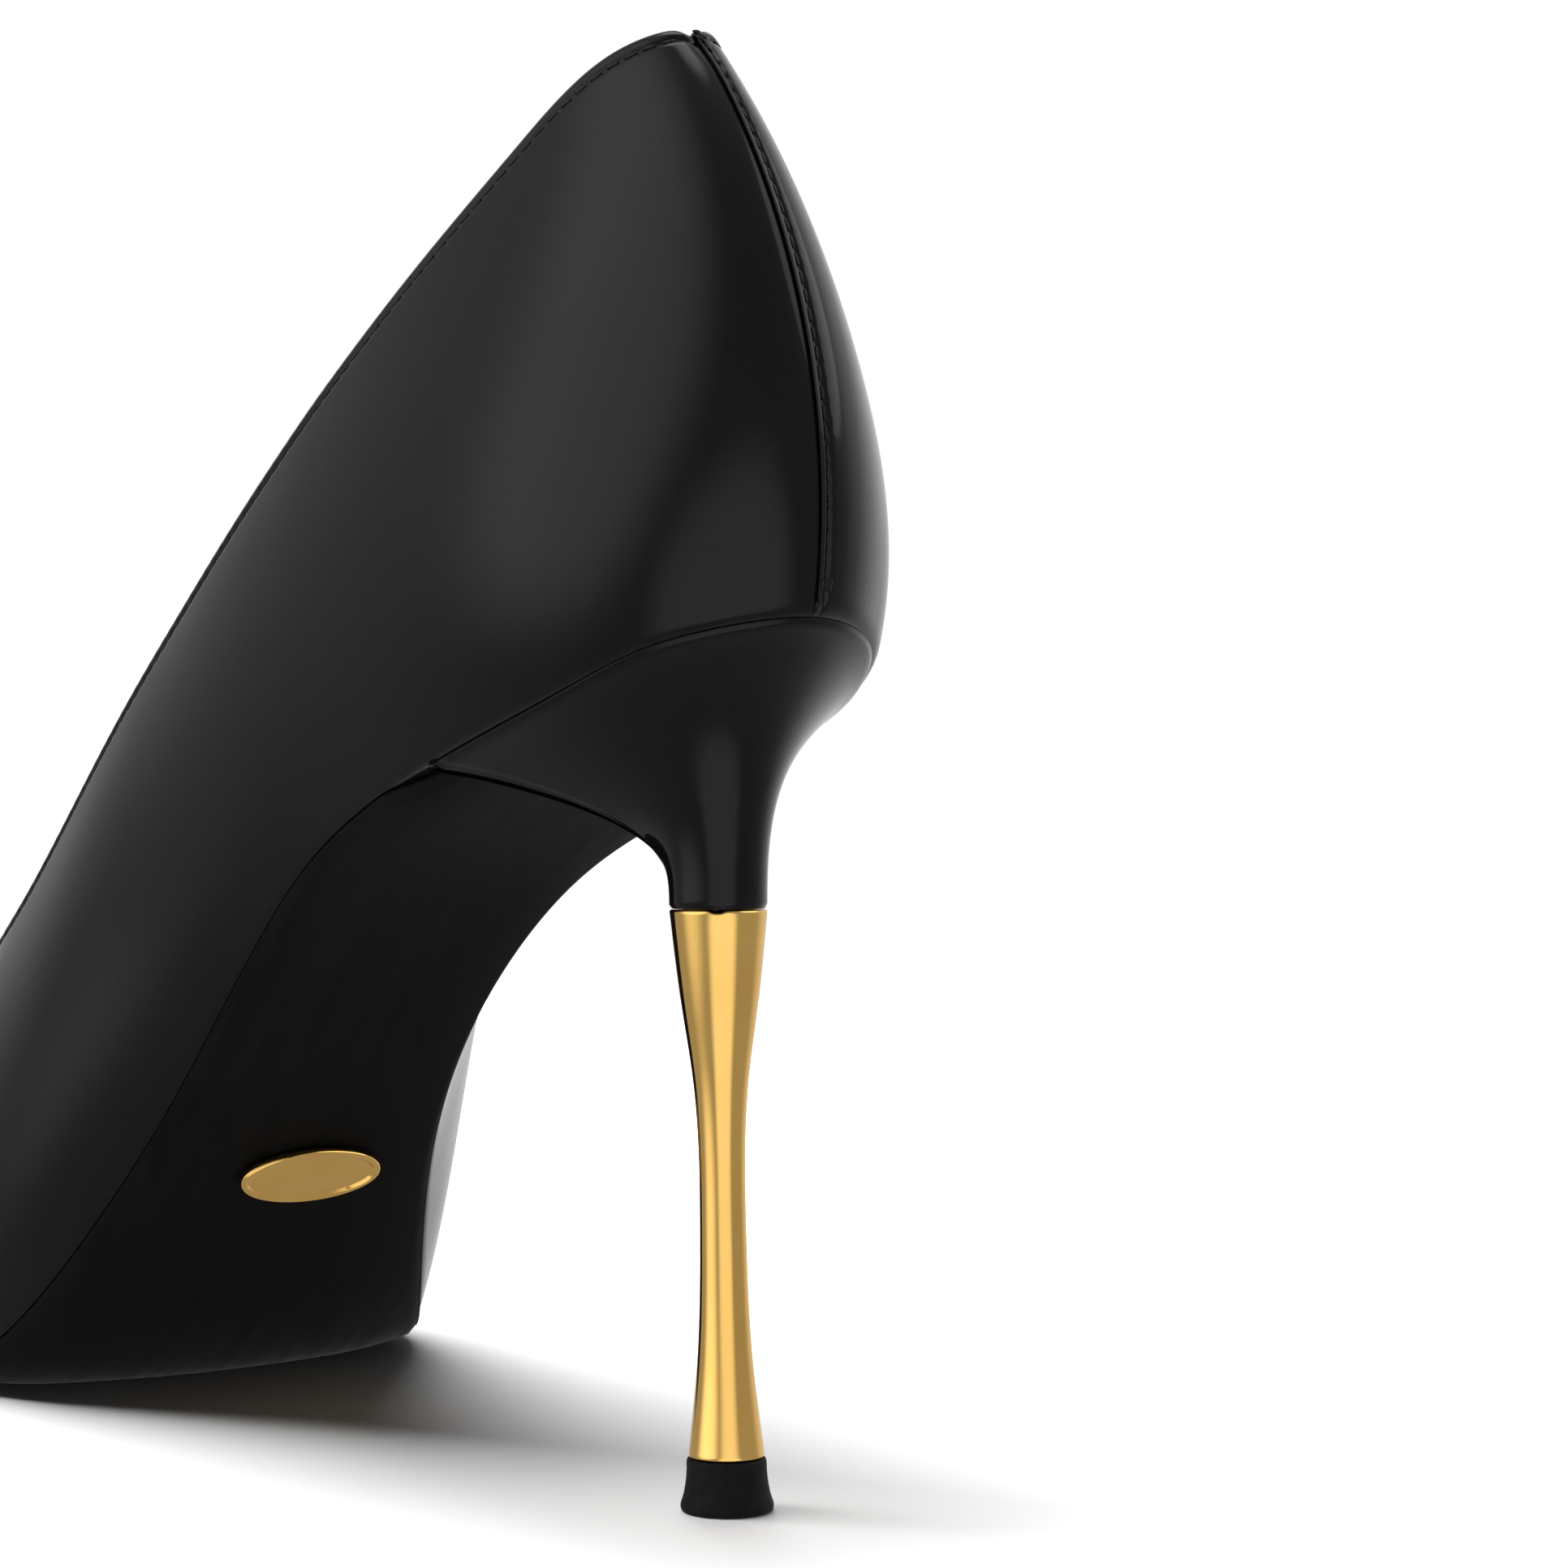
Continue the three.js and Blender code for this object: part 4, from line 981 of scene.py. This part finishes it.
# Rubber top lift: flared, with hollow sides and a moulded edge.
lift_levels = [
    (0, 5.0), (0.03, 5.18), (0.08, 5.28), (0.14, 5.28), (0.22, 5.12), (0.34, 4.9), (0.5, 4.72),
    (0.66, 4.6), (0.8, 4.54), (0.92, 4.54), (0.96, 4.5), (0.985, 4.42), (1.0, 4.3),
]
loops = []
for level, radius in lift_levels:
    loop = shaft_loop(sleeve_turns, level * LIFT_HEIGHT, radius)
    loops.append(inset_loop(loop, 0.25 * np.exp(-(to_corner / 0.01) ** 2)))
points, faces = loft(np.array(loops))
piece("rubber_lift", points, faces, [rubber], ["top_lift"])

# ---------------------------------------------------------------- badge
BADGE_X, BADGE_Y = 110.0, 5.1
HALF_LENGTH, HALF_WIDTH = 10.3, 4.8
RIM_SHARE = 0.74      # inside this share of the half width the badge is one dome
slope = float(feather_height(BADGE_X + 0.5) - feather_height(BADGE_X - 0.5))
along_x = unit(np.array([1.0, 0, slope]))
out = unit(np.cross(along_x, np.array([0, -1.0, 0])))
out = out if out[2] < 0 else -out
seat = np.array([BADGE_X, BADGE_Y, float(sole_bottom(np.array(BADGE_X), np.array(0.5)))])
# Share of the half width and rise of each ring, from the sole outwards and in to the middle.
badge_rings = [
    (0.94, 0.05), (0.985, 0.12), (1.0, 0.35), (1.0, 0.75), (0.985, 0.98), (0.95, 1.14), (0.90, 1.2),
    (0.85, 1.16), (0.80, 1.0), (0.765, 0.80), (0.74, 0.72), (0.68, 0.745), (0.6, 0.80), (0.5, 0.86),
    (0.4, 0.91), (0.3, 0.95), (0.2, 0.98), (0.1, 0.995), (0.03, 1.0),
]
loops = []
for share, rise in badge_rings:
    # Rings keep an even rim: they are moved in by the same distance all round.
    step_in = (1 - max(share, RIM_SHARE)) * HALF_WIDTH
    shrink = min(1, share / RIM_SHARE)
    long_half, short_half = (HALF_LENGTH - step_in) * shrink, (HALF_WIDTH - step_in) * shrink
    turn = np.linspace(0, 2 * math.pi, 96, endpoint=False)
    p = seat + np.cos(turn)[:, None] * np.array([0, 1.0, 0]) * long_half
    p = p + np.sin(turn)[:, None] * along_x * short_half + out * (0.28 + rise)
    loops.append(p)
points, faces = loft(np.array(loops))
piece("oval_badge", points, faces, [gold], ["sole_badge"])

# ---------------------------------------------------------------- hidden pieces keep their CAD shape
steel = make_plain("steel_fastener", (0.30, 0.31, 0.32), (0.50, 0.51, 0.53), 0.35, 1.0, 300)
board = make_plain("insole_fibreboard", (0.30, 0.21, 0.12), (0.42, 0.31, 0.19), 0.85, 0.0, 400)
stiff = make_plain("stiffener_board", (0.50, 0.42, 0.28), (0.62, 0.53, 0.36), 0.85, 0.0, 350)
foam = make_plain("latex_foam", (0.58, 0.47, 0.29), (0.68, 0.57, 0.37), 0.9, 0.0, 900)
cork = make_plain("cork_sheet", (0.36, 0.21, 0.10), (0.56, 0.37, 0.20), 0.9, 0.0, 500)
core = make_plain("heel_core", (0.02, 0.02, 0.02), (0.035, 0.035, 0.035), 0.5, 0.0, 200)
looks = {
    "heel_counter": stiff, "toe_puff": stiff, "heel_pad": foam, "ball_pad": foam,
    "insole_board": board, "steel_shank": steel, "bottom_filler": cork, "heel_block": core, "heel_rod": steel,
    "top_lift_pin": steel, "heel_screw": steel, "shank_rivet_rear": steel, "shank_rivet_front": steel,
    **{f"heel_nail_{i}": steel for i in range(1, 6)},
}
for name, look in looks.items():
    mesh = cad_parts[name].data
    mesh.materials.clear()
    mesh.materials.append(look)

# ---------------------------------------------------------------- stage, light and camera
def plain(name, color, rough):
    mat, tree, shader = material(name, color, rough, specular=0.2)
    fine = noise(tree, 6, 3)
    tint = blend_colors(tree, fine, tuple(c * 0.985 for c in color), color)
    tree.links.new(tint, shader.inputs["Base Color"])
    return mat


def stage_plane(name, corners, mat):
    mesh = bpy.data.meshes.new(name)
    mesh.from_pydata(corners, [], [tuple(range(len(corners)))])
    mesh.materials.append(mat)
    obj = bpy.data.objects.new(name, mesh)
    bpy.context.scene.collection.objects.link(obj)
    return obj


floor_mat = plain("floor_white", (0.93, 0.93, 0.935), 0.6)
# Painted light: the floor glows, its emission rising from none near the shoe to white away from it.
floor_tree = floor_mat.node_tree
floor_where = floor_tree.nodes.new("ShaderNodeTexCoord")
floor_far = floor_tree.nodes.new("ShaderNodeVectorMath")
floor_far.operation = "LENGTH"
floor_tree.links.new(floor_where.outputs["Object"], floor_far.inputs[0])
floor_shader = floor_tree.nodes["Principled BSDF"]
floor_shader.inputs["Emission Color"].default_value = (1, 1, 1, 1)
# painted glow: emission strength grows with the distance from the shoe
painted_glow = ranged(floor_tree, floor_far.outputs["Value"], 0.07, 0.4, 0, 0.8)
floor_tree.links.new(painted_glow, floor_shader.inputs["Emission Strength"])
FLOOR = 0.9
rim_turn = np.linspace(0, 2 * math.pi, 96, endpoint=False)
rim = np.stack([FLOOR * np.cos(rim_turn), FLOOR * np.sin(rim_turn), 0 * rim_turn], -1)
floor = stage_plane("floor", rim.tolist(), floor_mat)
floor.visible_glossy = False


def area(name, place, target, size, power):
    light = bpy.data.lights.new(name, "AREA")
    light.shape = "SQUARE"
    light.size = size
    light.energy = power
    obj = bpy.data.objects.new(name, light)
    obj.location = place
    obj.rotation_euler = (Vector(target) - Vector(place)).to_track_quat("-Z", "Y").to_euler()
    bpy.context.scene.collection.objects.link(obj)
    return obj


# The way the camera looks, on the floor, and what is to its left.
view = np.array([0.8090, -0.5878])
left = np.array([-view[1], view[0]])


def spot(forward, sideways, height):
    """A place on the stage, seen from the camera: metres forward of the shoe, to the left, and up."""
    p = view * forward + left * sideways
    return (float(p[0]), float(p[1]), height)


key = area("key_top", spot(0.42, 0.4, 1.1), spot(0, 0, 0), 1.2, 47)
key.visible_glossy = False


def in_stage(forward, sideways, height):
    """A direction given from the camera: forward, to the left and up."""
    p = view * forward + left * sideways
    return unit(np.array([p[0], p[1], height]))


world = bpy.data.worlds.new("studio")
bpy.context.scene.world = world
world.use_nodes = True
sky = world.node_tree
sky_where = sky.nodes.new("ShaderNodeTexCoord")


def lobe(direction, low, high, out_low, out_high):
    """A soft patch of the studio's walls, from out_low far from a direction to out_high near it."""
    dot = sky.nodes.new("ShaderNodeVectorMath")
    dot.operation = "DOT_PRODUCT"
    dot.inputs[1].default_value = tuple(direction)
    sky.links.new(sky_where.outputs["Generated"], dot.inputs[0])
    node = sky.nodes.new("ShaderNodeMapRange")
    node.interpolation_type = "SMOOTHERSTEP"
    for socket, value in (("From Min", low), ("From Max", high), ("To Min", out_low), ("To Max", out_high)):
        node.inputs[socket].default_value = value
    sky.links.new(dot.outputs["Value"], node.inputs["Value"])
    return node.outputs["Result"]


def combine(operation, first, second):
    node = sky.nodes.new("ShaderNodeMath")
    node.operation = operation
    sky.links.new(first, node.inputs[0])
    sky.links.new(second, node.inputs[1])
    return node.outputs["Value"]


# A dim room with a soft wall of light behind and to the left, a weak one ahead, a soft
# box overhead and one at the right, and a pale patch low behind the camera, where
# polished metal mirrors the floor.
wall = lobe(in_stage(-0.35, 0.8, 0.48), 0.58, 0.98, 0, 1.2)
left_wall = combine("MULTIPLY", wall, lobe(in_stage(1, 0, 0), -0.3, 0.4, 1, 0.1))
room = lobe(in_stage(1, -0.3, 0.3), 0.35, 0.95, 0.38, 0.7)
low_patch = lobe(in_stage(-0.94, -0.18, -0.27), 0.74, 0.95, 0, 0.72)
box_above = lobe(in_stage(0.15, 0, 1), 0.945, 0.985, 0, 2.2)
box_right = lobe(in_stage(0.1, -0.8, 0.6), 0.91, 0.94, 0, 1.2)
level = combine("ADD", combine("ADD", left_wall, room), low_patch)
level = combine("ADD", level, combine("ADD", box_above, box_right))
background = sky.nodes["Background"]
background.inputs["Color"].default_value = (1, 1, 1, 1)
sky.links.new(level, background.inputs["Strength"])
world.cycles_visibility.diffuse = False

# A white dome stands round the stage. Only the camera sees it.
dome_mat = bpy.data.materials.new("dome_white")
dome_mat.use_nodes = True
dome_shader = dome_mat.node_tree.nodes["Principled BSDF"]
dome_shader.inputs["Emission Color"].default_value = (1, 1, 1, 1)
dome_shader.inputs["Emission Strength"].default_value = 1.0
turn = np.linspace(0, 2 * math.pi, 48, endpoint=False)
DOME = 3.8
dome_rings = []
for lift in np.radians([-60, -40, -20, -8, 0, 8, 20, 40, 60, 80]):
    across, up = math.cos(lift), math.sin(lift)
    dome_rings.append(DOME * np.stack([np.cos(turn) * across, np.sin(turn) * across, 0 * turn + up], -1))
points, faces = loft(np.array(dome_rings))
mesh = bpy.data.meshes.new("dome")
mesh.from_pydata(points.tolist(), [], [tuple(int(i) for i in f) for f in faces])
mesh.materials.append(dome_mat)
dome = bpy.data.objects.new("dome", mesh)
bpy.context.scene.collection.objects.link(dome)
dome.visible_diffuse = dome.visible_glossy = dome.visible_transmission = dome.visible_shadow = False

camera_data = bpy.data.cameras.new("camera")
camera_data.sensor_width = 36.0
camera_data.lens = 82.19
camera_data.clip_start = 0.01
camera = bpy.data.objects.new("camera", camera_data)
camera.location = put(np.array([-310.39, 232.72, 81.45])).tolist()
pitch = math.radians(0.09)
look = Vector((view[0] * math.cos(pitch), view[1] * math.cos(pitch), math.sin(pitch)))
camera.rotation_euler = look.to_track_quat("-Z", "Y").to_euler()
bpy.context.scene.collection.objects.link(camera)
bpy.context.scene.camera = camera
bpy.context.scene.view_settings.view_transform = "Standard"

bpy.context.view_layer.update()
